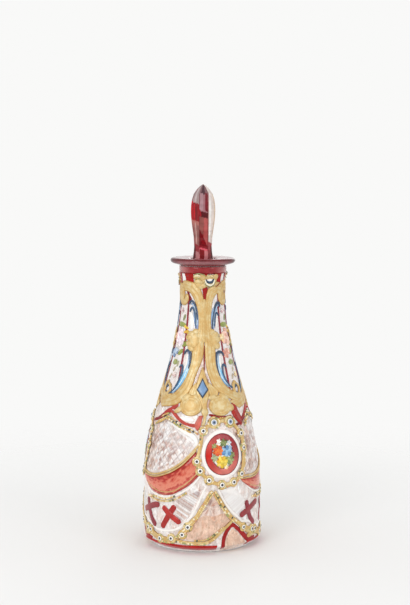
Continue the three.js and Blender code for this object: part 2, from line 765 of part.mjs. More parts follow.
addPiece(flask, 'glass_body', glassBody(), clearGlass);
addPiece(flask, 'neck_lip', neckLip(), rubyGlass);
addPiece(flask, 'ruby_neck_frame', rubyNeckFrame(), rubyGlass);
addPiece(flask, 'ruby_shoulder_line', rubyShoulderLine(), rubyGlass);
addPiece(flask, 'gilt_foot_border', giltFootBorder(), rawGold);
for (let k = 0; k < repeats; k += 1) {
  const label = k + 1;
  addPiece(flask, `ruby_foot_band_${label}`, rubyFootBand(k), rubyGlass);
  addPiece(flask, `ruby_arch_${label}`, rubyArch(k), rubyGlass);
  addPiece(flask, `ruby_swag_${label}`, rubySwag(k), rubyGlass);
  addPiece(flask, `medallion_ring_${label}`, medallionRing(k), rubyGlass);
  addPiece(flask, `medallion_ground_${label}`, medallionGround(k), whiteEnamel);
  addPiece(flask, `medallion_posy_${label}`, medallionPosy(k), posyEnamel);
  addPiece(flask, `gilt_wreath_${label}`, giltWreath(k), rawGold);
  addPiece(flask, `gilt_scroll_${label}`, giltScroll(k), rawGold);
  addPiece(flask, `blue_diamond_${label}`, blueDiamond(k), blueEnamel);
  addPiece(flask, `neck_spray_${label}`, neckSpray(k), posyEnamel);
  Object.entries(hookPaths).forEach(([place, path]) => {
    addPiece(flask, `blue_hook_${place}_${label}`, blueHook(path, k), blueEnamel);
  });
  Object.entries(crossPaths).forEach(([place, bars]) => {
    addPiece(flask, `ruby_cross_${place}_${label}`, rubyCross(bars, k), rubyGlass);
  });
}
addPiece(stopperGroup, 'stopper', stopper(), rubyGlass);

const assembly = new THREE.Group();
assembly.add(flask, stopperGroup);

export default assembly;
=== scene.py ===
# A stoppered flask of clear glass under a ruby overlay that is cut back to clear, with raised
# gilding and painted enamel. Angles are degrees round the axis from the front, sizes are
# millimetres on the glass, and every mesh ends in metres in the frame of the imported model.
import math

import bpy
import numpy as np
from mathutils import Matrix, Vector


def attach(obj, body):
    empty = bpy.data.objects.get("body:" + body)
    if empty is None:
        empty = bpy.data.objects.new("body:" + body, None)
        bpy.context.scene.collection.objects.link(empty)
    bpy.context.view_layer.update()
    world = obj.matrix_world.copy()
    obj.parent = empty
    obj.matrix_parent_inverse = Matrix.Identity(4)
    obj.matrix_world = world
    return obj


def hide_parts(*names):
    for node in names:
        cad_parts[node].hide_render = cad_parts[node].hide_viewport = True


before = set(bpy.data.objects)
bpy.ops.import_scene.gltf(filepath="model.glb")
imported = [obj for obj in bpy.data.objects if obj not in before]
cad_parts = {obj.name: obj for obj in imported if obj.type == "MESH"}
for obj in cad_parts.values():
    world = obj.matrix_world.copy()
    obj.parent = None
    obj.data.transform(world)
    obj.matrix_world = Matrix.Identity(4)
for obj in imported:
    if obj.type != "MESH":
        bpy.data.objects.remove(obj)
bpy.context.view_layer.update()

mm = 0.001
repeats = 3
turn = 360 / repeats

scene = bpy.context.scene
scene.view_settings.view_transform = "Standard"


def linear(hexColour):
    channels = [int(hexColour[i:i + 2], 16) / 255 for i in (1, 3, 5)]
    return [c / 12.92 if c <= 0.04045 else ((c + 0.055) / 1.055) ** 2.4 for c in channels] + [1.0]


# A node given as a value stands for its first working output. Stops and steps fill a colour ramp.
def fillIn(tree, node, settings):
    for name, value in settings.items():
        if isinstance(value, bpy.types.Node):
            value = next(socket for socket in value.outputs if socket.enabled)
        if isinstance(value, bpy.types.NodeSocket):
            tree.links.new(value, node.inputs[name])
        elif name in ("stops", "steps"):
            node.color_ramp.interpolation = "CONSTANT" if name == "steps" else "LINEAR"
            stops = node.color_ramp.elements
            for i, (position, colour) in enumerate(value):
                stop = stops[i] if i < 2 else stops.new(position)
                stop.position, stop.color = position, linear(colour)
        elif isinstance(name, str) and hasattr(node, name):
            setattr(node, name, value)
        else:
            node.inputs[name].default_value = value


def addNode(tree, kind, settings=None):
    node = tree.nodes.new(kind if "Node" in kind else "ShaderNode" + kind)
    fillIn(tree, node, settings or {})
    return node


# In a Mix node for colours, socket 0 is the share and 6 and 7 are the two colours
coloured = {"data_type": "RGBA"}
multiplied = {"data_type": "RGBA", "blend_type": "MULTIPLY"}
eased = {"interpolation_type": "SMOOTHSTEP"}

# Camera and stage
view = {
    "place": (0.0017, -0.9968, 0.2764),
    "pitch": 5.76,
    "roll": 0.28,
    "lens": 81.76,
    "sensor": 36.0,
}
cameraData = bpy.data.cameras.new("camera")
cameraData.sensor_fit = "AUTO"
cameraData.sensor_width = view["sensor"]
cameraData.lens = view["lens"]
camera = bpy.data.objects.new("camera", cameraData)
scene.collection.objects.link(camera)
camera.location = view["place"]
tilt = Matrix.Rotation(math.radians(90 - view["pitch"]), 4, "X")
lean = Matrix.Rotation(math.radians(view["roll"]), 4, "Z")
camera.rotation_euler = (tilt @ lean).to_euler()
scene.camera = camera

studio = {
    "backdrop": "#F9F9F8",
    "floor": "#EEEEED",
    "front": "#ECE8E6",
    "daylight": 0.9,
    "fromFront": (-0.9, 0.1),
    "floorHalf": 4.0,
    "floorDrop": 0.0002,
    "floorFade": (0.1, 0.5),
    "aim": (0, 0, 0.12),
    "lamps": [
        ("keyLamp", (-0.8, -1.4, 0.6), 0.9, 9.0),
        ("fillLamp", (1.2, -1.1, 0.5), 0.8, 3.5),
        ("backLamp", (0.4, 1.4, 0.7), 0.9, 2.5),
    ],
}


def bentLight(tree, ray):
    return addNode(tree, "Math", {
        "operation": "MAXIMUM", 0: ray.outputs["Is Glossy Ray"], 1: ray.outputs["Is Transmission Ray"]})


def makeWorld():
    world = bpy.data.worlds.new("studio")
    scene.world = world
    world.use_nodes = True
    tree = world.node_tree
    tree.nodes.clear()
    ray = addNode(tree, "LightPath")
    way = addNode(tree, "TexCoord")
    axes = addNode(tree, "SeparateXYZ", {0: way.outputs["Generated"]})
    front, behind = studio["fromFront"]
    depth = addNode(tree, "MapRange", {
        **eased, "Value": axes.outputs["Y"], "From Min": front, "From Max": behind})
    backdrop = linear(studio["backdrop"])
    seen = addNode(tree, "Mix", {**coloured, 0: depth, 6: linear(studio["front"]), 7: backdrop})
    daylight = [studio["daylight"]] * 3 + [1]
    soft = addNode(tree, "Mix", {**coloured, 0: bentLight(tree, ray), 6: daylight, 7: seen})
    straight = addNode(tree, "Mix", {**coloured, 0: ray.outputs["Is Camera Ray"], 6: soft, 7: backdrop})
    glow = addNode(tree, "Background", {"Color": straight, "Strength": 1.0})
    addNode(tree, "OutputWorld", {"Surface": glow})


def makeFloor():
    half = studio["floorHalf"]
    mesh = bpy.data.meshes.new("floor")
    corners = [(-half, -half, 0), (half, -half, 0), (half, half, 0), (-half, half, 0)]
    mesh.from_pydata(corners, [], [(0, 1, 2, 3)])
    floor = bpy.data.objects.new("floor", mesh)
    floor.location.z = -studio["floorDrop"]
    scene.collection.objects.link(floor)
    # Matt white paper: it takes a faint shadow under the foot and fades into the backdrop
    material = bpy.data.materials.new("paper sweep")
    material.use_nodes = True
    tree = material.node_tree
    tree.nodes.clear()
    paper = addNode(tree, "BsdfDiffuse", {"Color": linear(studio["floor"])})
    glow = addNode(tree, "Emission", {"Color": linear(studio["backdrop"]), "Strength": 1.0})
    bent = bentLight(tree, addNode(tree, "LightPath"))
    sheet = addNode(tree, "MixShader", {0: bent, 1: paper, 2: glow})
    place = addNode(tree, "TexCoord")
    reach = addNode(tree, "VectorMath", {"operation": "LENGTH", 0: place.outputs["Object"]})
    near, far = studio["floorFade"]
    fade = addNode(tree, "MapRange", {**eased, "Value": reach, "From Min": near, "From Max": far})
    blend = addNode(tree, "MixShader", {0: fade, 1: sheet, 2: addNode(tree, "BsdfTransparent")})
    addNode(tree, "OutputMaterial", {"Surface": blend})
    mesh.materials.append(material)


def makeLamps():
    for name, place, size, power in studio["lamps"]:
        data = bpy.data.lights.new(name, "AREA")
        data.shape = "DISK"
        data.size = size
        data.energy = power
        lamp = bpy.data.objects.new(name, data)
        lamp.location = place
        aim = Vector(studio["aim"]) - Vector(place)
        lamp.rotation_euler = aim.to_track_quat("-Z", "Y").to_euler()
        scene.collection.objects.link(lamp)


makeWorld()
makeFloor()
makeLamps()
print("camera, floor and lamps")

# The blown blank. Rows are heights at which its mesh has a ring of points.
blank = {
    "footRadius": 36.0,
    "bevelHeight": 5.0,
    "bodyRadius": 42.4,
    "shoulderStart": 44.0,
    "neckStart": 185.0,
    "neckRadius": 16.7,
    "neckTop": 203.0,
    "collarHeight": 5.0,
    "wall": 5.0,
    "base": 9.0,
    "boreRadius": 8.0,
    "boreFlare": 0.9,
    "plugLength": 27.0,
    "lipTop": 208.85,
    "panelRecess": 1.1,
    "panelFoot": 91.0,
    "panelFootRise": 11.0,
    "panelRunOut": 4.0,
    "stepRun": 0.7,
    "ridgeLeft": -39.5,
    "broadPanel": 84.0,
    "puntyDepth": 1.2,
    "footRings": [(17, 0.05), (18, 0), (35.4, 0)],
    "bevelRows": [0.25, 1.4, 2.6, 3.8, 4.6, 5.0, 5.8, 7.0, 9.0, 11.0, 13.0],
    "rowRuns": [(15, 53, 0.85), (53, 98, 0.55), (98, 106, 1.0), (106, 203, 3.2)],
    "boreRows": (203, 198, 192, 187),
    "hollowRows": 24,
    "floorRound": 8.0,
    "floorRows": 6,
    "innerDisc": 12.0,
    "puntyDisc": 8.5,
    "columns": 480,
    "innerColumns": 96,
}


def smoothStep(value, low, high):
    share = np.clip((value - low) / (high - low), 0, 1)
    return share * share * (3 - 2 * share)


def blankRadius(height):
    along = np.clip((height - blank["shoulderStart"]) / (blank["neckStart"] - blank["shoulderStart"]), 0, 1)
    swell = blank["bodyRadius"] - blank["neckRadius"]
    body = blank["neckRadius"] + swell * (1 + np.cos(np.pi * along)) / 2
    bevel = blank["footRadius"] + (blank["bodyRadius"] - blank["footRadius"]) * height / blank["bevelHeight"]
    return np.where(np.asarray(height) < blank["bevelHeight"], bevel, body)


def acrossPanel(angle):
    local = np.mod(angle - blank["ridgeLeft"], turn)
    broad, narrow = blank["broadPanel"], turn - blank["broadPanel"]
    return np.abs(2 * np.where(local < broad, local / broad, (local - broad) / narrow) - 1)


def panelFoot(angle):
    return blank["panelFoot"] + blank["panelFootRise"] * acrossPanel(angle) ** 3


def glassRadius(angle, height):
    foot = panelFoot(angle)
    above = smoothStep(height, foot - blank["stepRun"], foot + blank["stepRun"])
    collarFoot = blank["neckTop"] - blank["collarHeight"]
    below = 1 - smoothStep(height, collarFoot - blank["panelRunOut"], collarFoot)
    return blankRadius(height) - blank["panelRecess"] * above * below


def onCircle(radius, angle, height):
    around = np.radians(angle)
    return np.stack(np.broadcast_arrays(radius * np.sin(around), -radius * np.cos(around), height), -1)


def onGlass(angle, height, lift=0.0):
    return onCircle(glassRadius(angle, height) + lift, angle, height) * mm


def perDegree(angle, height):
    return glassRadius(angle, height) * np.pi / 180


def boreAt(height):
    share = (height - blank["lipTop"] + blank["plugLength"]) / blank["plugLength"]
    return blank["boreRadius"] + blank["boreFlare"] * min(max(share, 0), 1)


# Paths over the glass
def smoothPath(points, closed=False, steps=10):
    spots = [np.array(p, float) for p in points]
    count = len(spots)
    path = []
    for i in range(count if closed else count - 1):
        near = (i - 1, i, i + 1, i + 2)
        a, b, c, d = (spots[j % count if closed else min(max(j, 0), count - 1)] for j in near)
        bend, twist = 2 * a - 5 * b + 4 * c - d, 3 * b - a - 3 * c + d
        for t in (j / steps for j in range(steps)):
            path.append(0.5 * (2 * b + (c - a) * t + bend * t * t + twist * t ** 3))
    if not closed:
        path.append(spots[-1])
    return np.array(path)


def lengthsAlong(path):
    scale = perDegree(path[:, 0], path[:, 1])
    step = np.diff(path, axis=0)
    middle = (scale[1:] + scale[:-1]) / 2
    return np.concatenate([[0], np.cumsum(np.hypot(step[:, 0] * middle, step[:, 1]))])


def ringPath(angle, height, halfWidth, halfHeight, count=72):
    around = np.linspace(0, 2 * np.pi, count, endpoint=False)
    scale = perDegree(angle, height)
    return np.stack([angle + halfWidth * np.cos(around) / scale, height + halfHeight * np.sin(around)], -1)


# Joins a row of cross-sections, each a lower and an upper lane of points, into a closed strip
def band(sections, closed):
    count, lanes = sections.shape[0], sections.shape[2]
    row = 2 * lanes
    faces = []
    for i in range(count if closed else count - 1):
        a = i * row
        b = ((i + 1) % count) * row
        for j in range(lanes - 1):
            faces.append((a + j, b + j, b + j + 1, a + j + 1))
            faces.append((a + lanes + j, a + lanes + j + 1, b + lanes + j + 1, b + lanes + j))
        faces.append((a, a + lanes, b + lanes, b))
        faces.append((a + lanes - 1, b + lanes - 1, b + row - 1, a + row - 1))
    if not closed:
        first = list(range(row))
        last = [i + (count - 1) * row for i in first]
        faces.append(tuple(first[:lanes] + first[:lanes - 1:-1]))
        faces.append(tuple(last[lanes:] + last[lanes - 1::-1]))
    return sections.reshape(-1, 3), faces


# The "stroke" attribute: length run so far, place across from -1 to 1, whole length
def marksFor(run, across, total):
    run = np.repeat(run, 2 * len(across))
    return np.stack([run, np.tile(across, len(run) // len(across)), np.full(len(run), total)], -1)


# Cross-sections of a stroke: places across from -1 to 1, and the rise at each
profiles = {
    "rounded": ([-1, -0.93, -0.7, -0.36, 0, 0.36, 0.7, 0.93, 1],
                [0.02, 0.45, 0.8, 0.96, 1, 0.96, 0.8, 0.45, 0.02]),
    "flat": ([-1, -0.94, -0.5, 0, 0.5, 0.94, 1], [0.55, 0.95, 1, 1, 1, 0.95, 0.55]),
    "grooved": ([-1, -0.93, -0.75, -0.5, -0.25, 0, 0.25, 0.5, 0.75, 0.93, 1],
                [0.05, 0.6, 0.95, 0.78, 0.92, 1, 0.92, 0.78, 0.95, 0.6, 0.05]),
}
# Rounded ends of a stroke: extra sections at these turns, in radians, and the least narrowing
tips = {"turns": (0.12, 0.45, 0.8, 1.15, 1.5), "clear": 1.05, "least": 0.003}
# Fields: the rim of a plate, and the strands, rounding and tapered ends of a combed limb
plate = {"rimFrom": 0.99, "rimRise": 0.6}
combing = {"strands": 3, "scored": 0.16, "rounding": 0.85, "power": 6, "tipRun": 14, "tipFrom": 0.15}


def stroke(points, widths, lift, thickness, profile="rounded", closed=False, smooth=True, step=1.1):
    path = smoothPath(points, closed) if smooth else np.array(points, float)
    if closed:
        wrap = 360 * round((path[-1, 0] - path[0, 0]) / 360)
        path = np.vstack([path, path[:1] + [wrap, 0]])
    along = lengthsAlong(path)
    total = along[-1]
    widths = np.array([widths, widths] if np.isscalar(widths) else widths, float)
    if closed:
        spots = np.linspace(0, total, max(int(total / step), 8), endpoint=False)
    else:
        spots = list(np.linspace(0, total, max(int(total / step), 3) + 1))
        for end, sign, width in ((0, 1, widths[0]), (total, -1, widths[-1])):
            half = min(width / 2, total / 3)
            spots = [s for s in spots if abs(s - end) > half * tips["clear"]]
            spots += [end + sign * half * (1 - math.cos(a)) for a in tips["turns"]]
        spots = np.array(sorted(spots))
    angle = np.interp(spots, along, path[:, 0])
    height = np.interp(spots, along, path[:, 1])
    width = np.interp(spots / total, np.linspace(0, 1, len(widths)), widths)
    scale = perDegree(angle, height)
    if closed:
        narrowing = np.ones(len(spots))
        turned = np.roll(angle, -1) - np.roll(angle, 1)
        turned = np.mod(turned + 180, 360) - 180
        risen = np.roll(height, -1) - np.roll(height, 1)
    else:
        share = np.clip(np.minimum(spots, total - spots) / np.maximum(width / 2, 1e-6), 0, 1)
        narrowing = np.sqrt(np.maximum(1 - (1 - share) ** 2, tips["least"]))
        turned, risen = np.gradient(angle), np.gradient(height)
    size = np.maximum(np.hypot(turned * scale, risen), 1e-9)
    across, rises = (np.array(row) for row in profiles[profile])
    side = -across[None, :] * (width * narrowing / 2)[:, None]
    laneAngle = angle[:, None] - (risen / size)[:, None] * side / scale[:, None]
    laneHeight = height[:, None] + (turned * scale / size)[:, None] * side
    top = lift + thickness * rises[None, :] * np.sqrt(narrowing)[:, None]
    sections = np.stack([onGlass(laneAngle, laneHeight, lift), onGlass(laneAngle, laneHeight, top)], 1)
    return (*band(sections, closed), marksFor(spots, across, total))


def ring(points, width, lift, thickness, profile="rounded", step=1.0):
    return stroke(points, width, lift, thickness, profile, True, False, step)


# A plate between two edges, or a limb of gilding combed into strands
def field(edges, lift, thickness, lanes=7, count=60, combed=False):
    paths = [smoothPath(edge) for edge in edges]
    share = np.linspace(0, 1, count)
    spaced = []
    for path in paths:
        along = np.linspace(0, 1, len(path)) if combed else lengthsAlong(path) / lengthsAlong(path)[-1]
        spaced.append(np.stack([np.interp(share, along, path[:, i]) for i in (0, 1)], -1))
    a, b = spaced
    travel = np.gradient((a + b) / 2, axis=0)
    if np.sum(travel[:, 0] * (a - b)[:, 1] - travel[:, 1] * (a - b)[:, 0]) < 0:
        a, b = b, a  # the first edge lies left of the way the field runs
    across = np.linspace(-1, 1, lanes)
    mix = (across / 2 + 0.5)[None, :, None]
    grid = a[:, None, :] * (1 - mix) + b[:, None, :] * mix
    if combed:
        strands = 0.5 + 0.5 * np.cos(np.pi * across * combing["strands"])
        rise = 1 - np.abs(across) ** combing["power"] * combing["rounding"] - combing["scored"] * strands
        ends = np.clip(np.minimum(share, 1 - share) * combing["tipRun"] + combing["tipFrom"], 0, 1)
        rise = np.tile(rise, (count, 1)) * ends[:, None]
    else:
        rise = np.where(np.abs(across) > plate["rimFrom"], plate["rimRise"], 1.0)
    low = onGlass(grid[..., 0], grid[..., 1], lift)
    high = onGlass(grid[..., 0], grid[..., 1], lift + thickness * rise)
    total = lengthsAlong(paths[0])[-1]
    return (*band(np.stack([low, high], 1), False), marksFor(share * total, across, total))


# A closed boss over an outline given in millimetres round its middle
def dome(angle, height, outline, lift, thickness, crown, rings=4):
    outline = np.array(outline, float)
    scale = perDegree(angle, height)
    count = len(outline)
    bottom, levels = [], []
    for share in np.linspace(0, 1, rings + 1)[1:]:
        spots = outline * share
        rise = thickness * 0.5 if share == 1 else thickness + crown * (1 - share ** 2)
        for rows, above in ((bottom, 0), (levels, rise)):
            rows.append(onGlass(angle + spots[:, 0] / scale, height + spots[:, 1], lift + above))
    middle = [onGlass(angle, height, lift)[None], onGlass(angle, height, lift + thickness + crown)[None]]
    verts = np.concatenate(middle + bottom + levels)
    faces = []
    up = 2 + rings * count
    for i in range(count):
        j = (i + 1) % count
        faces.append((0, 2 + j, 2 + i))
        faces.append((1, up + i, up + j))
        for r in range(rings - 1):
            a, b = 2 + r * count, 2 + (r + 1) * count
            faces.append((a + i, a + j, b + j, b + i))
            c, d = up + r * count, up + (r + 1) * count
            faces.append((c + j, c + i, d + i, d + j))
        rim, rimTop = 2 + (rings - 1) * count, up + (rings - 1) * count
        faces.append((rim + i, rim + j, rimTop + j, rimTop + i))
    return verts, faces, np.zeros((len(verts), 3))


def oval(halfWidth, halfHeight, count=28, turned=0.0):
    around = np.linspace(0, 2 * np.pi, count, endpoint=False)
    x = halfWidth * np.cos(around)
    y = halfHeight * np.sin(around)
    c, s = math.cos(math.radians(turned)), math.sin(math.radians(turned))
    return np.stack([x * c - y * s, x * s + y * c], -1)


def shifted(points, k):
    return [(p[0] + k * turn, p[1]) for p in points]


def repeated(points):
    return [spot for k in range(repeats) for spot in shifted(points, k)]


# Edges are two paths, or stations with a point of each
def edgesAt(edges, k):
    if len(edges) > 2:
        edges = [[station[:2] for station in edges], [station[2:] for station in edges]]
    return [shifted(edge, k) for edge in edges]


# Pieces
def toneAlong(tones, part):
    if isinstance(tones, str):
        return np.tile(linear(tones), (len(part[0]), 1))
    stops = np.array([linear(tone) for tone in tones])
    share = part[2][:, 0] / np.maximum(part[2][:, 2], 1e-6)
    return np.stack([np.interp(share, np.linspace(0, 1, len(stops)), stops[:, i]) for i in range(4)], -1)


def addLayer(mesh, name, kind, key, values):
    layer = mesh.attributes.new(name, kind, "POINT")
    layer.data.foreach_set(key, np.asarray(values).astype(np.float32).reshape(-1))


def makeMesh(name, parts, material, paint=None):
    mesh = bpy.data.meshes.new(name)
    faces = []
    start = 0
    for part in parts:
        faces += [tuple(i + start for i in face) for face in part[1]]
        start += len(part[0])
    mesh.from_pydata(np.concatenate([part[0] for part in parts]).tolist(), [], faces)
    addLayer(mesh, "stroke", "FLOAT_VECTOR", "vector", np.concatenate([part[2] for part in parts]))
    if paint is not None:
        colours = np.concatenate([toneAlong(tones, part) for tones, part in zip(paint, parts)])
        addLayer(mesh, "paint", "FLOAT_COLOR", "color", colours)
    mesh.materials.append(material)
    return mesh


# A piece replaces the CAD node of the same name in snake case, or the one named, or with "" none
def makePiece(name, mesh, node=None, body="flask"):
    mesh.polygons.foreach_set("use_smooth", [True] * len(mesh.polygons))
    mesh.update()
    piece = bpy.data.objects.new(name, mesh)
    scene.collection.objects.link(piece)
    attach(piece, body)
    if node is None:
        node = "".join("_" + c.lower() if c.isupper() or c.isdigit() else c for c in name)
    if node:
        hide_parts(node)


def addPiece(name, parts, finish, paint=None, node=None):
    makePiece(name, makeMesh(name, parts, finish, paint), node)


# Pairs are parts with their tones
def addPainted(name, pairs, finish, node=None):
    parts, paint = zip(*pairs)
    addPiece(name, parts, finish, paint, node)


# Materials. Each recipe gives what its Principled shader's sockets take. Scales of noises are per
# metre, so that 200 gives patches about 5 mm wide.
def makeMaterial(name, recipe, *given):
    material = bpy.data.materials.new(name)
    material.use_nodes = True
    tree = material.node_tree
    fillIn(tree, tree.nodes["Principled BSDF"], recipe(tree, *given))
    return material


def cloudy(tree, scale, detail):
    place = addNode(tree, "TexCoord").outputs["Object"]
    return addNode(tree, "TexNoise", {"Vector": place, "Scale": scale, "Detail": detail})


# Pale glass whose colour is mostly painted light: a rosy cast painted as reflected ruby and gold,
# each flank of a groove with its own painted brightness and glints, brown lines of painted shade in
# the grooves' floors, thin painted refraction lines, and painted reflections crossing the cut panels
# as white flashes and grey streaks. The warmer and whiter zones of the tint are painted light too.
def clearGlass(tree):
    mask, across, around, tint = (addNode(tree, "Attribute", {"attribute_name": name}).outputs["Fac"]
                                  for name in ("cutMask", "cutU", "cutV", "tint"))
    place = addNode(tree, "TexCoord").outputs["Object"]
    drawn = addNode(tree, "Mapping", {"Vector": place, "Scale": (1.0, 1.0, 0.4)})
    # Clouds of painted light, white to rosy grey, drawn out upright
    cloud = addNode(tree, "TexNoise", {"Vector": drawn, "Scale": 190.0, "Detail": 4.0, "Roughness": 0.62})
    tone = addNode(tree, "ValToRGB", {0: cloud, "stops": [
        (0.36, "#FFFFFF"), (0.46, "#FBF6F2"), (0.52, "#EDE0DA"), (0.58, "#FBF4F0"), (0.63, "#E4D0C7"),
        (0.7, "#C9AEA4")]})
    bent = addNode(tree, "Mix", {"data_type": "VECTOR", 0: 0.012, 4: place, 5: cloud.outputs["Color"]})
    crack = addNode(tree, "TexVoronoi", {"feature": "DISTANCE_TO_EDGE", "Vector": bent, "Scale": 300.0})
    facets = addNode(tree, "TexVoronoi", {"feature": "F1", "Vector": bent, "Scale": 390.0})
    along = addNode(tree, "CombineXYZ", {0: across, 1: around})
    double = addNode(tree, "VectorMath", {"operation": "SCALE", 0: along, "Scale": 2.0})
    cell = addNode(tree, "VectorMath", {"operation": "FLOOR", 0: double})
    cells = addNode(tree, "TexWhiteNoise", {"noise_dimensions": "3D", "Vector": cell})
    cut = addNode(tree, "Math", {"operation": "GREATER_THAN", 0: mask, 1: 0.1})
    chosen = addNode(tree, "Mix", {**coloured, 0: cut, 6: facets.outputs["Color"], 7: cells.outputs["Color"]})
    shading, glint, _ = addNode(tree, "SeparateColor", {0: chosen}).outputs
    # Painted light and shade: each facet, and in the cuts each flank of a groove, a little lighter or darker
    shade = addNode(tree, "MapRange", {"Value": shading, "To Min": 0.84, "To Max": 1.16})
    # Painted glints: white and warm flecks on some of the facets
    paintedGlints = addNode(tree, "ValToRGB", {0: glint, "steps": [
        (0.0, "#EBC4B6"), (0.12, "#FFFFFF"), (0.62, "#F0E4DE"), (0.82, "#E9CDB6"), (0.92, "#D2AE9C")]})
    slanted = addNode(tree, "Mapping", {"Vector": along, "Scale": (0.3, 0.8, 1.0)})
    sweep = addNode(tree, "TexNoise", {"Vector": slanted, "Scale": 1.0, "Detail": 3.0, "Distortion": 1.5})
    waves = [addNode(tree, "Math", {"operation": "PINGPONG", 0: run, 1: 0.5}) for run in (across, around)]
    nearest = addNode(tree, "Math", {"operation": "MINIMUM", 0: waves[0], 1: waves[1]})
    # Painted light: grey streaks and white flashes of reflection, thin refraction lines, and shade in the
    # grooves' floors
    # source, where it starts and where it is full, its share outside the cuts and in the deepest
    shares = {}
    for name, source, start, full, outside, inside in (
            ("grey", sweep, 0.5, 0.38, 0.0, 1.0),
            ("flash", sweep, 0.51, 0.55, 0.0, 0.9),
            ("vein", crack, 0.07, 0.0, 0.24, 0.2),
            ("floor", nearest, 0.13, 0.0, 0.0, 1.0)):
        seen = addNode(tree, "MapRange", {"Value": source, "From Min": start, "From Max": full})
        held = addNode(tree, "MapRange", {"Value": mask, "To Min": outside, "To Max": inside})
        shares[name] = addNode(tree, "Math", {"operation": "MULTIPLY", 0: seen, 1: held})
    catch = addNode(tree, "MapRange", {"Value": glint, "To Min": 0.45, "To Max": 1.0})
    # Painted shade: brown lines in the grooves' floors, stronger on some facets than on others
    grooveShade = addNode(tree, "Math", {"operation": "MULTIPLY", 0: shares["floor"], 1: catch})
    held = addNode(tree, "MapRange", {"Value": mask, "To Min": 0.3, "To Max": 0.85})
    # Painted light seen through the glass: warmer where the tint is above zero, whiter where it is below
    warmth = addNode(tree, "MapRange", {"Value": tint, "To Max": 0.85})
    pale = addNode(tree, "MapRange", {"Value": tint, "From Min": 0.0, "From Max": -1.0, "To Max": 0.8})
    for kind, share, colour in (
            (multiplied, 1.0, shade),
            (multiplied, held, paintedGlints),
            (multiplied, shares["grey"], linear("#C2B1B4")),
            (coloured, shares["flash"], linear("#FFFFFF")),
            (coloured, shares["vein"], linear("#B58C82")),
            (coloured, grooveShade, linear("#8A6C68")),
            (multiplied, warmth, linear("#F2CFB4")),
            (coloured, pale, linear("#FFFDFB"))):
        tone = addNode(tree, "Mix", {**kind, 0: share, 6: tone, 7: colour})
    matt = addNode(tree, "MapRange", {"Value": mask, "To Min": 0.05, "To Max": 0.16})
    uneven = addNode(tree, "Bump", {"Height": cloud, "Strength": 0.3, "Distance": 0.0012})
    return {"IOR": 1.5, "Transmission Weight": 0.2, "Base Color": tone, "Roughness": matt, "Normal": uneven}


# The wall of the hollow: white with faint pink clouds and no sharp reflection
def hazedGlass(tree):
    tone = addNode(tree, "Mix", {
        **coloured, 0: cloudy(tree, 55.0, 2.0), 6: linear("#FFFFFF"), 7: linear("#F9E8E3")})
    return {"IOR": 1.5, "Transmission Weight": 0.2, "Roughness": 0.4, "Base Color": tone}


# Ruby glass: the tone painted on each piece, a little lighter and darker with the overlay's
# thickness, under a polished face that waves slightly
def rubyGlass(tree):
    paint = addNode(tree, "Attribute", {"attribute_name": "paint"})
    cloud = cloudy(tree, 240.0, 3.0)
    depth = addNode(tree, "MapRange", {
        "Value": cloud, "From Min": 0.3, "From Max": 0.7, "To Min": 1.16, "To Max": 0.84})
    tone = addNode(tree, "Mix", {**multiplied, 0: 1.0, 6: paint, 7: depth})
    uneven = addNode(tree, "Bump", {"Height": cloud, "Strength": 0.12, "Distance": 0.0006})
    return {"IOR": 1.52, "Transmission Weight": 0.3, "Specular IOR Level": 0.12, "Roughness": 0.06,
            "Base Color": tone, "Normal": uneven}


# The broad swag: deep red along its edges and salmon in its middle, where the wheel thinned the
# ruby, with the wheel's streaks running along it. The salmon and the deep red are also painted
# light and shade, of the pale light that shows through the thin red and of what lies behind it.
def swagToneAndLight(tree):
    marks = addNode(tree, "Attribute", {"attribute_name": "stroke"}).outputs["Vector"]
    across = addNode(tree, "SeparateXYZ", {0: marks}).outputs["Y"]
    lie = addNode(tree, "VectorMath", {"operation": "MULTIPLY", 0: marks, 1: (0.16, 2.2, 0.0)})
    streak = addNode(tree, "TexNoise", {"Vector": lie, "Scale": 1.6, "Detail": 4.0})
    waver = addNode(tree, "MapRange", {
        "Value": streak, "From Min": 0.3, "From Max": 0.7, "To Min": -0.26, "To Max": 0.26})
    level = addNode(tree, "MapRange", {"Value": across, "From Min": -1.0, "From Max": 1.0})
    value = addNode(tree, "Math", {"operation": "ADD", 0: level, 1: waver})
    # Painted light through the ruby: salmon in the middle, deep red at the edges
    tone = addNode(tree, "ValToRGB", {0: value, "stops": [
        (0.0, "#B01C14"), (0.16, "#C43024"), (0.3, "#E26850"), (0.5, "#F08E72"), (0.7, "#F4987C"),
        (0.84, "#D4584A"), (1.0, "#C04038")]})
    return {"IOR": 1.52, "Transmission Weight": 0.3, "Roughness": 0.08, "Base Color": tone}


# Small beads: each takes one of several golds, creams and olive tones, as touched in by hand
def beadGlaze(tree):
    picked = addNode(tree, "Attribute", {"attribute_name": "tone"})
    colours = addNode(tree, "ValToRGB", {0: picked.outputs["Fac"], "steps": [
        (0.0, "#DDBC78"), (0.3, "#E8D49C"), (0.5, "#CFA862"), (0.7, "#EDE2C4"), (0.8, "#A3A468"),
        (0.9, "#6A6A4C"), (0.95, "#C8936C")]})
    shade = addNode(tree, "MapRange", {"Value": cloudy(tree, 900.0, 2.0), "To Min": 0.8, "To Max": 1.15})
    tone = addNode(tree, "Mix", {**multiplied, 0: 1.0, 6: colours, 7: shade})
    return {"Roughness": 0.32, "Base Color": tone}
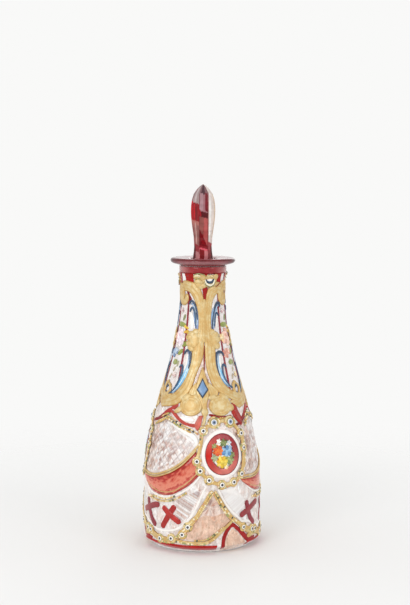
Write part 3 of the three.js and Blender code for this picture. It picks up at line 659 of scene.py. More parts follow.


# Matt gold: pale on the crown of a stroke and browner at its edges as painted light and shade, and
# darker along the tooled lines as painted shade, with the grain of fired paste. The grain is drawn
# coarser than the real one, which would not show.
def gilding(tree):
    cloud, broad = cloudy(tree, 180.0, 4.0), cloudy(tree, 420.0, 2.0)
    marks = addNode(tree, "Attribute", {"attribute_name": "stroke"}).outputs["Vector"]
    across = addNode(tree, "SeparateXYZ", {0: marks}).outputs["Y"]
    edge = addNode(tree, "Math", {"operation": "ABSOLUTE", 0: across})
    # Painted shade: browner towards each edge of a stroke, where it turns down to the glass
    rim = addNode(tree, "MapRange", {"Value": edge, "From Min": 0.74, "From Max": 1.0, "To Max": 0.27})
    # Painted shade along the tooled lines, wavering with the paste
    waver = addNode(tree, "Math", {"operation": "MULTIPLY_ADD", 0: across, 1: 9.4, 2: 0.4})
    bent = addNode(tree, "Math", {"operation": "MULTIPLY_ADD", 0: cloud, 1: 3.0, 2: waver})
    drawn = addNode(tree, "Math", {"operation": "COSINE", 0: bent})
    scored = addNode(tree, "MapRange", {"Value": drawn, "From Min": 0.5, "From Max": 1.0, "To Max": 0.13})
    grain = addNode(tree, "Math", {"operation": "MULTIPLY_ADD", 0: broad, 1: 0.36, 2: scored})
    paste = addNode(tree, "Math", {"operation": "MULTIPLY_ADD", 0: cloud, 1: 0.55, 2: grain})
    mixed = addNode(tree, "Math", {"operation": "ADD", 0: rim, 1: paste})
    tone = addNode(tree, "ValToRGB", {0: mixed, "stops": [
        (0.34, "#D3C193"), (0.48, "#C9AA6E"), (0.68, "#C09552"), (0.96, "#A2783C")]})
    grainy = addNode(tree, "Bump", {"Height": cloud, "Strength": 0.35, "Distance": 0.0003})
    return {"Metallic": 0.2, "Roughness": 0.42, "Base Color": tone, "Normal": grainy}


# Enamel: clouds between two tones where it was laid thick and thin, and an uneven fired face
def enamel(tree, light, dark, roughness=0.28):
    cloud = cloudy(tree, 260.0, 3.0)
    tone = addNode(tree, "Mix", {**coloured, 0: cloud, 6: linear(light), 7: linear(dark)})
    uneven = addNode(tree, "Bump", {"Height": cloud, "Strength": 0.2, "Distance": 0.0002})
    return {"Roughness": roughness, "Base Color": tone, "Normal": uneven}


# Painted flowers and leaves: the tone painted on each petal, mottled as by a small brush
def paintedEnamel(tree):
    paint = addNode(tree, "Attribute", {"attribute_name": "paint"})
    shade = addNode(tree, "MapRange", {
        "Value": cloudy(tree, 500.0, 3.0), "From Min": 0.3, "From Max": 0.7, "To Min": 0.75, "To Max": 1.15})
    return {"Roughness": 0.3, "Base Color": addNode(tree, "Mix", {**multiplied, 0: 1.0, 6: paint, 7: shade})}


glassFinish = makeMaterial("blown lead glass, wheel cut and polished", clearGlass)
hazeFinish = makeMaterial("blown lead glass, inner face dulled by use", hazedGlass)
rubyFinish = makeMaterial("ruby overlay, cut and polished", rubyGlass)
deepRubyFinish = makeMaterial("ruby flashed glass, facets polished", rubyGlass)
swagFinish = makeMaterial("ruby overlay, ground thin, with painted light through it", swagToneAndLight)
beadFinish = makeMaterial("beads of gilt paste and enamel dots", beadGlaze)
pupilFinish = makeMaterial("black enamel dots, glossy", enamel, "#2C3340", "#12161C")
stoneFinish = makeMaterial("grey-blue enamel, thinly laid", enamel, "#A9B6CA", "#7C8EAE")
goldFinish = makeMaterial("raised gilding, fired matt over paste", gilding)
blueFinish = makeMaterial("blue enamel, brushed on", enamel, "#8FAAC8", "#4C78A8")
bronzeFinish = makeMaterial("gilt paste rubbed down to its brown ground", enamel, "#A8924E", "#7E7A44", 0.5)
darkFinish = makeMaterial("blue-black enamel line", enamel, "#3F5068", "#23303F")
whiteFinish = makeMaterial("white enamel, brushed on", enamel, "#F6F2EC", "#E3DEDA")
paintFinish = makeMaterial("painted enamel, fired glossy", paintedEnamel)
print("materials")

# Cuts of the wheel. The diamonds, at 4.4 mm, and the ribs are drawn coarser than the real ones,
# so that each stays a few pixels wide.
cuts = {
    "diamondSpacing": 4.4,
    "diamondDepth": 0.7,
    "diamondMiddle": (-42, 76),
    "diamondSlant": (0.766, 0.643),
    "diamondFeather": 1.6,
    "ribSpacing": 1.8,
    "ribDepth": 0.75,
    "ribMiddle": -50.0,
    "ribSlant": (0.5, 0.87),
    "ribFeather": 1.2,
    "ribsClear": (22, 26),
    "starCentre": (7.5, 34.0),
    "starReach": 7.5,
    "starRays": 10,
    "starDepth": 0.8,
    "starHub": (0.3, 2.0),
    "starFade": 4.0,
    "tintFeather": 1.0,
    "neckPale": (102, 112),
    "neckPaleness": 0.5,
    "grooveShare": 0.5,
}
# Upper and lower edge of the diamond panel and of the ribbed lens
diamondEdge = (
    [(-84, 84), (-74, 90), (-60, 93), (-42, 96.5), (-22, 91), (-9, 87), (-1, 82)],
    [(-84, 58), (-70, 55.6), (-60, 55.2), (-42, 58.2), (-22, 66), (-9, 75), (-1, 82)],
)
lensEdge = (
    [
        (-104, 47), (-94, 44), (-84, 41), (-70, 36.5), (-50, 34.5), (-35, 35.5), (-22, 39.5), (-12, 43.5),
        (2, 49),
    ],
    [(-104, 47), (-94, 35), (-84, 27), (-70, 22), (-50, 17), (-35, 17), (-22, 20.5), (-12, 27.5), (2, 49)],
)
# Where the glass is painted warmer or, below zero, whiter, as painted light of what shows through it:
# the amount, then upper and lower edge
tintEdges = [
    (
        0.5,
        [
            (-23, 10), (-18, 15.5), (-12, 21), (-5, 27.4), (-1.5, 32), (3, 37.5), (7.5, 44), (11, 46),
            (16.5, 41), (21.5, 34.5), (27, 28.6), (31, 25),
        ],
        [(-23, 9), (8, 9.4), (13, 12), (19, 16), (25, 19.6), (31, 24)],
    ),
    (
        1.0,
        [(-23, 10), (-18, 15.5), (-12, 21), (-5, 26), (3, 29), (12, 28), (20, 30), (27, 28.6), (31, 25)],
        [(-23, 9), (8, 9.4), (13, 12), (19, 16), (25, 19.6), (31, 24)],
    ),
    (1.0, [(21, 5), (24, 10.5), (27, 15), (31.5, 18), (37, 15), (46, 7.8), (50, 4.4)], [(21, 0), (50, 0)]),
    (
        -0.3, [(-62, 92), (-34, 94), (-20, 91), (-8, 89), (-3, 85)],
        [(-62, 86), (-34, 77), (-20, 72), (-8, 75), (-3, 77)],
    ),
    (-1.0, [(-34, 94), (-20, 91), (-8, 89), (-3, 85)], [(-34, 88), (-20, 83), (-8, 78), (-3, 77)]),
    (
        -1.0, [(17, 48), (30, 48.5), (38, 44), (46, 38)],
        [(17, 47), (25, 36.5), (31, 31), (38, 26), (46, 22)],
    ),
    (0.35, [(-84, 90), (-62, 92), (-56, 88)], [(-84, 56), (-62, 56), (-56, 58)]),
    (
        1.1,
        [
            (-18, 108), (-13, 116), (-9, 125), (-5, 133), (0.5, 143), (5, 133), (10, 125), (14, 116),
            (19, 108),
        ],
        [(-18, 105), (0.5, 102), (19, 105)],
    ),
]


def between(upper, lower, angle, height, feather):
    first, last = upper[0][0], upper[-1][0]
    local = first + np.mod(angle - first, turn)
    top, bottom = (np.interp(local, *zip(*edge)) for edge in (upper, lower))
    inside = smoothStep(top - height, 0, feather) * smoothStep(height - bottom, 0, feather)
    return inside * (local <= last), local


# Two coordinates that count the cuts, and how deep they go
def cutPattern(angle, height):
    scale = perDegree(angle, height)
    diamond, local = between(*diamondEdge, angle, height, cuts["diamondFeather"])
    middle, slant = cuts["diamondMiddle"], cuts["diamondSlant"]
    x, y = (local - middle[0]) * scale * slant[0], (height - middle[1]) * slant[1]
    u, v = (x + y) / cuts["diamondSpacing"], (x - y) / cuts["diamondSpacing"]
    depth = diamond * cuts["diamondDepth"]
    lens, local = between(*lensEdge, angle, height, cuts["ribFeather"])
    ribs = (lens > 0) & (diamond <= 0)
    away = np.abs(local - cuts["ribMiddle"])
    run = away * scale * cuts["ribSlant"][0] + height * cuts["ribSlant"][1]
    clearOfCross = smoothStep(away, *cuts["ribsClear"])
    centre = cuts["starCentre"]
    x = (np.mod(angle - centre[0] + turn / 2, turn) - turn / 2) * scale
    y = height - centre[1]
    reach = np.hypot(x, y)
    rays = np.degrees(np.arctan2(y, x)) * cuts["starRays"] / 360
    taper = smoothStep(reach, *cuts["starHub"]) * smoothStep(cuts["starReach"] - reach, 0, cuts["starFade"])
    for inside, first, deep in (
            (ribs, run / cuts["ribSpacing"], lens * cuts["ribDepth"] * clearOfCross),
            (reach < cuts["starReach"], rays, taper * cuts["starDepth"])):
        u, v, depth = np.where(inside, first, u), np.where(inside, 0.5, v), np.where(inside, deep, depth)
    return u, v, depth


# Painted light: the glass's warmth from the tint zones, and a painted whiteness up the neck
def tintAt(angle, height):
    tint = np.zeros(len(angle))
    for amount, upper, lower in tintEdges:
        inside, _ = between(upper, lower, angle, height, cuts["tintFeather"])
        tint = np.where(inside > 0, amount * inside, tint)
    return tint - cuts["neckPaleness"] * smoothStep(height, *cuts["neckPale"])


# Geometry Nodes: a group with named inputs, and the identifier of each
def makeGroup(name, inputs):
    tree = bpy.data.node_groups.new(name, "GeometryNodeTree")
    names = {}
    for label, kind in {"Geometry": "Geometry", **inputs}.items():
        socket = tree.interface.new_socket(label, in_out="INPUT", socket_type="NodeSocket" + kind)
        names[label] = socket.identifier
    tree.interface.new_socket("Geometry", in_out="OUTPUT", socket_type="NodeSocketGeometry")
    return tree, names, addNode(tree, "NodeGroupInput").outputs


def wheelCutTree():
    tree, names, given = makeGroup("wheel cuts", {"Groove share": "Float", "Depth": "Float"})
    across, around, mask = (
        addNode(tree, "GeometryNodeInputNamedAttribute", {"data_type": "FLOAT", "Name": name})
        for name in ("cutU", "cutV", "cutMask"))
    grooves = []
    for count in (across, around):
        wave = addNode(tree, "Math", {"operation": "PINGPONG", 0: count, 1: 0.5})
        grooves.append(addNode(tree, "MapRange", {
            "Value": wave, "From Max": given["Groove share"], "To Min": 1.0, "To Max": 0.0}))
    inward = addNode(tree, "Math", {"operation": "MAXIMUM", 0: grooves[0], 1: grooves[1]})
    for factor in (mask, given["Depth"], -1.0):
        inward = addNode(tree, "Math", {"operation": "MULTIPLY", 0: inward, 1: factor})
    normal = addNode(tree, "GeometryNodeInputNormal")
    offset = addNode(tree, "VectorMath", {"operation": "SCALE", 0: normal, "Scale": inward})
    moved = addNode(tree, "GeometryNodeSetPosition", {"Geometry": given["Geometry"], "Offset": offset})
    addNode(tree, "NodeGroupOutput", {0: moved})
    return tree, names


def evaluated(name, mesh, group, values):
    tree, names = group
    holder = bpy.data.objects.new(name, mesh)
    scene.collection.objects.link(holder)
    modifier = holder.modifiers.new("nodes", "NODES")
    modifier.node_group = tree
    for label, value in values.items():
        modifier[names[label]] = value
    graph = bpy.context.evaluated_depsgraph_get()
    made = bpy.data.meshes.new_from_object(holder.evaluated_get(graph))
    made.name = name
    bpy.data.objects.remove(holder)
    return made


# Flattened balls on given spots, or in rows at an even spacing along lines
def settingTree(name, rows, segments, rings):
    tree, names, given = makeGroup(name, {
        "Width": "Float", "Height": "Float", "Spacing": "Float", "Spread": "Float", "Seed": "Int",
        "Finish": "Material"})
    spots = given["Geometry"]
    if rows:
        line = addNode(tree, "GeometryNodeMeshToCurve", {0: spots})
        spots = addNode(tree, "GeometryNodeResampleCurve", {
            "mode": "LENGTH", "Curve": line, "Length": given["Spacing"]})
    ball = addNode(tree, "GeometryNodeMeshUVSphere", {"Segments": segments, "Rings": rings})
    outward = addNode(tree, "GeometryNodeInputNamedAttribute", {
        "data_type": "FLOAT_VECTOR", "Name": "outward"})
    lie = addNode(tree, "FunctionNodeAlignRotationToVector", {"axis": "Z", "Vector": outward})
    least, most = (addNode(tree, "Math", {"operation": kind, 0: 1.0, 1: given["Spread"]})
                   for kind in ("SUBTRACT", "ADD"))
    # 2, 3 and 8 are the lowest value, the highest and the seed
    chance = addNode(tree, "FunctionNodeRandomValue", {
        "data_type": "FLOAT", 2: least, 3: most, 8: given["Seed"]})
    shape = addNode(tree, "CombineXYZ", {0: given["Width"], 1: given["Width"], 2: given["Height"]})
    size = addNode(tree, "VectorMath", {"operation": "SCALE", 0: shape, "Scale": chance})
    laid = addNode(tree, "GeometryNodeInstanceOnPoints", {
        "Points": spots, "Instance": ball, "Rotation": lie, "Scale": size})
    pick = addNode(tree, "FunctionNodeRandomValue", {"data_type": "FLOAT", 8: given["Seed"]})
    toned = addNode(tree, "GeometryNodeStoreNamedAttribute", {
        "data_type": "FLOAT", "domain": "INSTANCE", "Geometry": laid, "Name": "tone", "Value": pick})
    real = addNode(tree, "GeometryNodeRealizeInstances", {0: toned})
    dressed = addNode(tree, "GeometryNodeSetMaterial", {0: real, "Material": given["Finish"]})
    addNode(tree, "NodeGroupOutput", {0: dressed})
    return tree, names


studTree = settingTree("studs on the glass", False, 20, 10)
beadTree = settingTree("beads in a row", True, 8, 5)


def slopeOut(angle, height):
    lean = blankRadius(height - 0.5) - blankRadius(height + 0.5)
    ways = onCircle(1, angle, lean)
    return ways / np.linalg.norm(ways, axis=-1, keepdims=True)


def spotMesh(name, chains, lift):
    places, ways, edges, start = [], [], [], 0
    for chain in chains:
        path = smoothPath(chain) if len(chain) > 1 else np.array(chain, float)
        places.append(onGlass(path[:, 0], path[:, 1], lift))
        ways.append(slopeOut(path[:, 0], path[:, 1]))
        edges += [(start + i, start + i + 1) for i in range(len(path) - 1)]
        start += len(path)
    mesh = bpy.data.meshes.new(name)
    mesh.from_pydata(np.concatenate(places).tolist(), edges, [])
    addLayer(mesh, "outward", "FLOAT_VECTOR", "vector", np.concatenate(ways))
    return mesh


def addStuds(name, spots, lift, width, height, finish, slot):
    values = {"Width": width * mm, "Height": height * mm, "Spread": 0.06, "Seed": 1, "Finish": finish}
    mesh = spotMesh(name + "Spots", [[spot] for spot in spots], lift)
    makePiece(name, evaluated(name, mesh, studTree, values), "")


def addBeads(name, chains, lift, width, height, spacing, seed):
    values = {"Width": width * mm, "Height": height * mm, "Spacing": spacing * mm, "Spread": 0.25,
              "Seed": seed, "Finish": beadFinish}
    mesh = spotMesh(name + "Lines", chains, lift)
    makePiece(name, evaluated(name, mesh, beadTree, values), "")


# Rings from the punty up the outside to the neck's top, down the bore and over the hollow's floor
def makeBlank():
    columns, innerColumns = blank["columns"], blank["innerColumns"]
    rows, marks = [], []

    def flatRow(radius, height, count):
        rows.append(onCircle(radius, np.arange(count) * 360 / count, height) * mm)
        marks.append(np.tile([0.5, 0.5, 0, 0], (count, 1)))

    for radius, height in [(blank["puntyDisc"], blank["puntyDepth"])] + blank["footRings"]:
        flatRow(radius, height, columns)
    angle = np.arange(columns) * 360 / columns
    heights = [height for run in blank["rowRuns"] for height in np.arange(*run)]
    for height in blank["bevelRows"] + heights + [blank["neckTop"]]:
        level = np.full(columns, height)
        rows.append(onGlass(angle, level))
        marks.append(np.stack(cutPattern(angle, level) + (tintAt(angle, level),), -1))
    outerRows = len(rows)
    innerRadius = blank["bodyRadius"] - blank["wall"]
    for height in blank["boreRows"]:
        flatRow(boreAt(height), height, innerColumns)
    for share in np.arange(blank["hollowRows"], -1, -1) / blank["hollowRows"]:
        height = blank["shoulderStart"] + (blank["neckStart"] - blank["shoulderStart"]) * share
        swell = (1 + math.cos(math.pi * share)) / 2
        flatRow(blank["boreRadius"] + (innerRadius - blank["boreRadius"]) * swell, height, innerColumns)
    corner = blank["floorRound"]
    for bend in np.linspace(0, math.pi / 2, blank["floorRows"]):
        inset, rise = corner * (1 - math.cos(bend)), corner * (1 - math.sin(bend))
        flatRow(innerRadius - inset, blank["base"] + rise, innerColumns)
    flatRow(blank["innerDisc"], blank["base"], innerColumns)
    starts = [0] + np.cumsum([len(row) for row in rows]).tolist()
    faces = []
    for r, (a, b) in enumerate(zip(starts, starts[1:-1])):
        if r == outerRows - 1:
            ratio = columns // innerColumns
            for i in range(innerColumns):
                edge = [a + (i * ratio + n) % columns for n in range(ratio + 1)]
                faces.append(tuple(edge + [b + (i + 1) % innerColumns, b + i]))
            outer = len(faces)
            continue
        count = columns if r < outerRows else innerColumns
        faces += [(a + i, a + (i + 1) % count, b + (i + 1) % count, b + i) for i in range(count)]
    kinds = [0] * outer + [1] * (len(faces) - outer) + [0] * columns + [1] * innerColumns
    end, last = starts[-1], starts[-2]
    faces += [(end, (i + 1) % columns, i) for i in range(columns)]
    faces += [(end + 1, last + i, last + (i + 1) % innerColumns) for i in range(innerColumns)]
    ends = np.array([[0, 0, blank["puntyDepth"]], [0, 0, blank["base"]]]) * mm
    mesh = bpy.data.meshes.new("blank")
    mesh.from_pydata(np.concatenate(rows + [ends]).tolist(), [], faces)
    marks = np.concatenate(marks + [np.zeros((2, 4))])
    for i, name in enumerate(("cutU", "cutV", "cutMask", "tint")):
        addLayer(mesh, name, "FLOAT", "value", marks[:, i])
    mesh.materials.append(glassFinish)
    mesh.materials.append(hazeFinish)
    mesh.polygons.foreach_set("material_index", kinds)
    return evaluated("glassBlank", mesh, wheelCutTree(), {"Groove share": cuts["grooveShare"], "Depth": mm})


makePiece("glassBlank", makeBlank(), "glass_body")
print("glass blank")

# Lip and stopper. The lip's tones go from its front and back to its two sides, which take darker
# tones as painted shade; the pale rows on its top are painted highlights.
lip = {
    "profile": [
        (8.9, 203.25), (16.8, 203.25), (17.9, 203.7), (19.6, 204.3), (21.9, 204.9), (23.1, 205.7),
        (23.6, 206.8), (23.4, 207.8), (22.7, 208.5), (21.6, 208.8), (17.5, 208.6), (12.5, 208.35),
        (9.5, 208.2), (9.0, 207.6),
    ],
    # Per row of the profile, the tone at front and back and the tone at the sides: the side tones are painted
    # shade, the pale top rows painted highlights
    "tones": [
        ("#8E5856", "#7A3A3E"), ("#8A3A3C", "#7A3038"), ("#8A3E40", "#6E2C34"), ("#925254", "#6E2C34"),
        ("#9A6266", "#5A242C"), ("#A87478", "#4E2228"), ("#A2686C", "#4E272C"), ("#6E2226", "#4E1C22"),
        ("#7C2A2E", "#5A1C22"), ("#B07880", "#8A4A52"), ("#D9AEB2", "#B98A90"), ("#D2A2A6", "#B98A90"),
        ("#A8484E", "#A8484E"), ("#8A3A40", "#8A3A40"),
    ],
    "sideShadeSpread": 5,
    "columns": 96,
}
finial = {
    "facets": ("rim", "right", "side", "left"),
    "turned": -22.5,
    "rimLeast": 0.5,
    "faceSlope": 1.25,
    "faceLeast": 0.42,
    "toneSlope": 1.6,
    "sharpFrom": 16,
    "plugFit": 0.4,
    "plugChamfer": (1.2, 0.7),
    "plugRows": (195, 207.4),
    "plugTones": ("#E9D9D4", "#E9D9D4", "#E9D9D4", "#8A2A30"),
    "rimHalf": 3.3,
    "rimShift": 0.6,
    "sections": [
        (208.9, 7.2, 7.2), (213.0, 6.6, 7.3), (217.0, 6.3, 7.4), (224.0, 6.7, 10.0), (229.0, 7.4, 13.2),
        (234.0, 8.1, 15.3), (239.0, 8.6, 16.0), (243.0, 8.75, 15.9), (247.0, 8.6, 14.6), (251.0, 8.0, 11.8),
        (254.8, 6.8, 8.2), (258.2, 4.5, 4.4), (260.4, 2.3, 2.0), (261.8, 0.2, 0.2),
    ],
    "rowStep": 0.5,
    "split": 20,
    "plain": "#A02428",
    # painted light over the plain ruby: blocks of refracted and reflected colour and bright highlight
    # lines, with the right facet pale where it is cut clear. Each row: facet, share across from and to at
    # the foot and at the head, height from and to, colour
    "tones": [
        ("rim", 0, 1, 0, 1, 253, 262, "#8A6468"), ("rim", 0.2, 0.6, 0.3, 0.7, 254, 262, "#52323A"),
        ("rim", 0, 1, 0, 1, 242.4, 254.6, "#A87278"), ("rim", 0.68, 0.98, 0.62, 0.92, 243, 256, "#7C1E2A"),
        ("rim", 0.06, 0.46, 0.12, 0.42, 243, 255, "#B78E94"), ("rim", 0, 1, 0, 1, 238.4, 242.4, "#560E16"),
        ("rim", 0, 0.3, 0, 0.12, 237.6, 243.4, "#A81020"), ("rim", 0, 0.5, 0, 0.55, 226, 238.4, "#98544E"),
        ("rim", 0.5, 1, 0.55, 1, 218, 238.4, "#BE5A58"), ("rim", 0, 0.96, 0, 0.1, 217.6, 229, "#70121A"),
        ("rim", 0.3, 0.8, 0.08, 0.2, 218.6, 226, "#861018"), ("rim", 0, 1, 0, 1, 215.6, 217.8, "#8E1A24"),
        ("rim", 0.04, 0.96, 0.04, 0.96, 214.6, 215.8, "#E4606E"),
        ("rim", 0, 1, 0, 1, 205, 214.6, "#D08084"), ("rim", 0.1, 0.56, 0.06, 0.6, 205, 214.6, "#840A14"),
        ("rim", 0, 0.06, 0, 0.06, 215, 254, "#6A1820"), ("rim", 0.96, 1, 0.96, 1, 215, 250, "#5E1A20"),
        ("left", 0, 1, 0, 1, 248.6, 262, "#AC9694"), ("left", 0, 0.14, 0, 0.22, 248.6, 262, "#8A6468"),
        ("left", 0.4, 0.62, 0.4, 0.7, 249.4, 260, "#C9B8B8"), ("left", 0, 1, 0, 1, 236.2, 248.6, "#960814"),
        ("left", 0, 0.28, 0, 0.2, 235.4, 249.4, "#C40010"),
        ("left", 0.38, 0.5, 0.34, 0.5, 236.2, 247.5, "#C8101C"),
        ("left", 0.52, 0.76, 0.56, 0.8, 236.2, 246, "#7E0410"), ("left", 0, 1, 0, 1, 233.4, 236, "#B87066"),
        ("left", 0, 1, 0, 1, 218.6, 233.4, "#A46A64"),
        ("left", 0.42, 0.6, 0.44, 0.56, 219, 234.4, "#D2ACA4"),
        ("left", 0.16, 0.26, 0.1, 0.18, 219, 233, "#7E4644"),
        ("left", 0.82, 0.92, 0.8, 0.88, 219, 233, "#864440"), ("left", 0, 1, 0, 1, 213.6, 218.6, "#9A2C34"),
        ("left", 0, 1, 0, 1, 205, 213.6, "#D08A8C"), ("left", 0, 0.55, 0, 0.3, 205, 217, "#5C141A"),
        ("right", 0, 1, 0, 1, 205, 262, "#EFE2D9"), ("right", 0, 0.1, 0, 0.1, 220, 256, "#C89A90"),
        ("right", 0.12, 0.46, 0.12, 0.42, 221, 255, "#FFFCF8"),
        ("right", 0.86, 1, 0.86, 1, 224, 256, "#E6D2B4"), ("right", 0, 1, 0, 1, 205, 220, "#B0444A"),
        ("right", 0, 0.4, 0, 0.4, 205, 214, "#8A2028"), ("right", 0.4, 1, 0.7, 1, 205, 218, "#5C141A"),
        ("side", 0, 1, 0, 1, 205, 262, "#9E2026"), ("side", 0.08, 0.92, 0.06, 0.94, 221, 252, "#B5434A"),
        ("side", 0.2, 0.8, 0.24, 0.76, 226, 247, "#E0BCB4"),
        ("side", 0.3, 0.68, 0.34, 0.62, 229, 244, "#EFDDD6"),
        ("side", 0.1, 0.24, 0.08, 0.16, 222, 248, "#7A1018"),
        ("side", 0.72, 0.84, 0.8, 0.88, 224, 250, "#8C1A22"),
    ],
}


def lathed(profile, columns):
    angle = np.arange(columns) * 360 / columns
    verts = np.concatenate([onCircle(radius, angle, height) for radius, height in profile]) * mm
    faces = []
    for r in range(len(profile)):
        a, b = r * columns, ((r + 1) % len(profile)) * columns
        faces += [(a + i, a + (i + 1) % columns, b + (i + 1) % columns, b + i) for i in range(columns)]
    return verts, faces, np.zeros((len(verts), 3))


def makeLip():
    mesh = makeMesh("lipRing", [lathed(lip["profile"], lip["columns"])], deepRubyFinish)
    around = 2 * np.pi * np.arange(lip["columns"]) / lip["columns"]
    # Painted shade: the lip turns to its darker tones towards its two sides
    side = (np.abs(np.sin(around)) ** lip["sideShadeSpread"])[:, None]
    tones = [[np.array(linear(tone)) for tone in row] for row in lip["tones"]]
    colours = [front * (1 - side) + end * side for front, end in tones]
    addLayer(mesh, "paint", "FLOAT_COLOR", "color", colours)
    return mesh


# The ruby and the painted light at a point of a facet: the last listed block that holds it, or the plain ruby
def stopperToneAndLight(facet, share, height):
    colour = finial["plain"]
    for name, left, right, leftUp, rightUp, low, high, tone in finial["tones"]:
        if name == facet and low <= height <= high:
            rise = (height - low) / (high - low)
            if left + (leftUp - left) * rise <= share <= right + (rightUp - right) * rise:
                colour = tone
    return linear(colour)


# The ground plug, then the stem and the flat finial with eight facets round each row
def makeStopper():
    split = finial["split"]
    count = 8 * split
    foot = blank["lipTop"] - blank["plugLength"]
    fit, chamfer = finial["plugFit"], finial["plugChamfer"]
    plug = [(boreAt(foot) - chamfer[0], foot), (boreAt(foot) - fit, foot + chamfer[1])]
    plug += [(boreAt(height) - fit, height) for height in finial["plugRows"]]
    around = finial["turned"] + 360 * np.arange(count) / count
    rings = [onCircle(radius, around, height) for radius, height in plug]
    level, thicks, wides = np.array(finial["sections"]).T
    across = (np.arange(split) / split)[None, :, None]
    for height in np.linspace(level[0], level[-1], int((level[-1] - level[0]) / finial["rowStep"])):
        thick, wide = np.interp(height, level, thicks), np.interp(height, level, wides)
        rim = min(finial["rimHalf"], thick * finial["rimLeast"])
        face = max(wide - (thick - rim) * finial["faceSlope"], wide * finial["faceLeast"])
        shift = finial["rimShift"] * rim / finial["rimHalf"]
        half = [(shift - rim, -wide), (shift + rim, -wide), (thick, -face), (thick, face)]
        corners = np.array(half + [(-x, -y) for x, y in half])
        ends = np.roll(corners, -1, axis=0)
        points = (corners[:, None] * (1 - across) + ends[:, None] * across).reshape(-1, 2)
        rings.append(np.column_stack([points, np.full(count, height)]))
    faces, tones = [], []
    for r, points in enumerate(rings):
        for i in range(count):
            share = (i % split + 0.5) / split
            if r < len(plug):
                tones.append(linear(finial["plugTones"][r]))
            else:
                facet = finial["facets"][i // split % 4]
                tones.append(stopperToneAndLight(facet, share, points[0, 2] + finial["toneSlope"] * (share - 0.5)))
    for a in range(0, (len(rings) - 1) * count, count):
        for i in range(count):
            j = (i + 1) % count
            faces.append((a + i, a + j, a + count + j, a + count + i))
    faces.append(tuple(reversed(range(count))))
    faces.append(tuple(range((len(rings) - 1) * count, len(rings) * count)))
    mesh = bpy.data.meshes.new("stopper")
    mesh.from_pydata((np.concatenate(rings) * mm).tolist(), [], faces)
    addLayer(mesh, "paint", "FLOAT_COLOR", "color", tones)
    mesh.materials.append(deepRubyFinish)
    return mesh


makePiece("lipRing", makeLip(), "neck_lip")
stopperMesh = makeStopper()
makePiece("stopper", stopperMesh, body="stopper")
stopperMesh.set_sharp_from_angle(angle=math.radians(finial["sharpFrom"]))
print("lip and stopper")

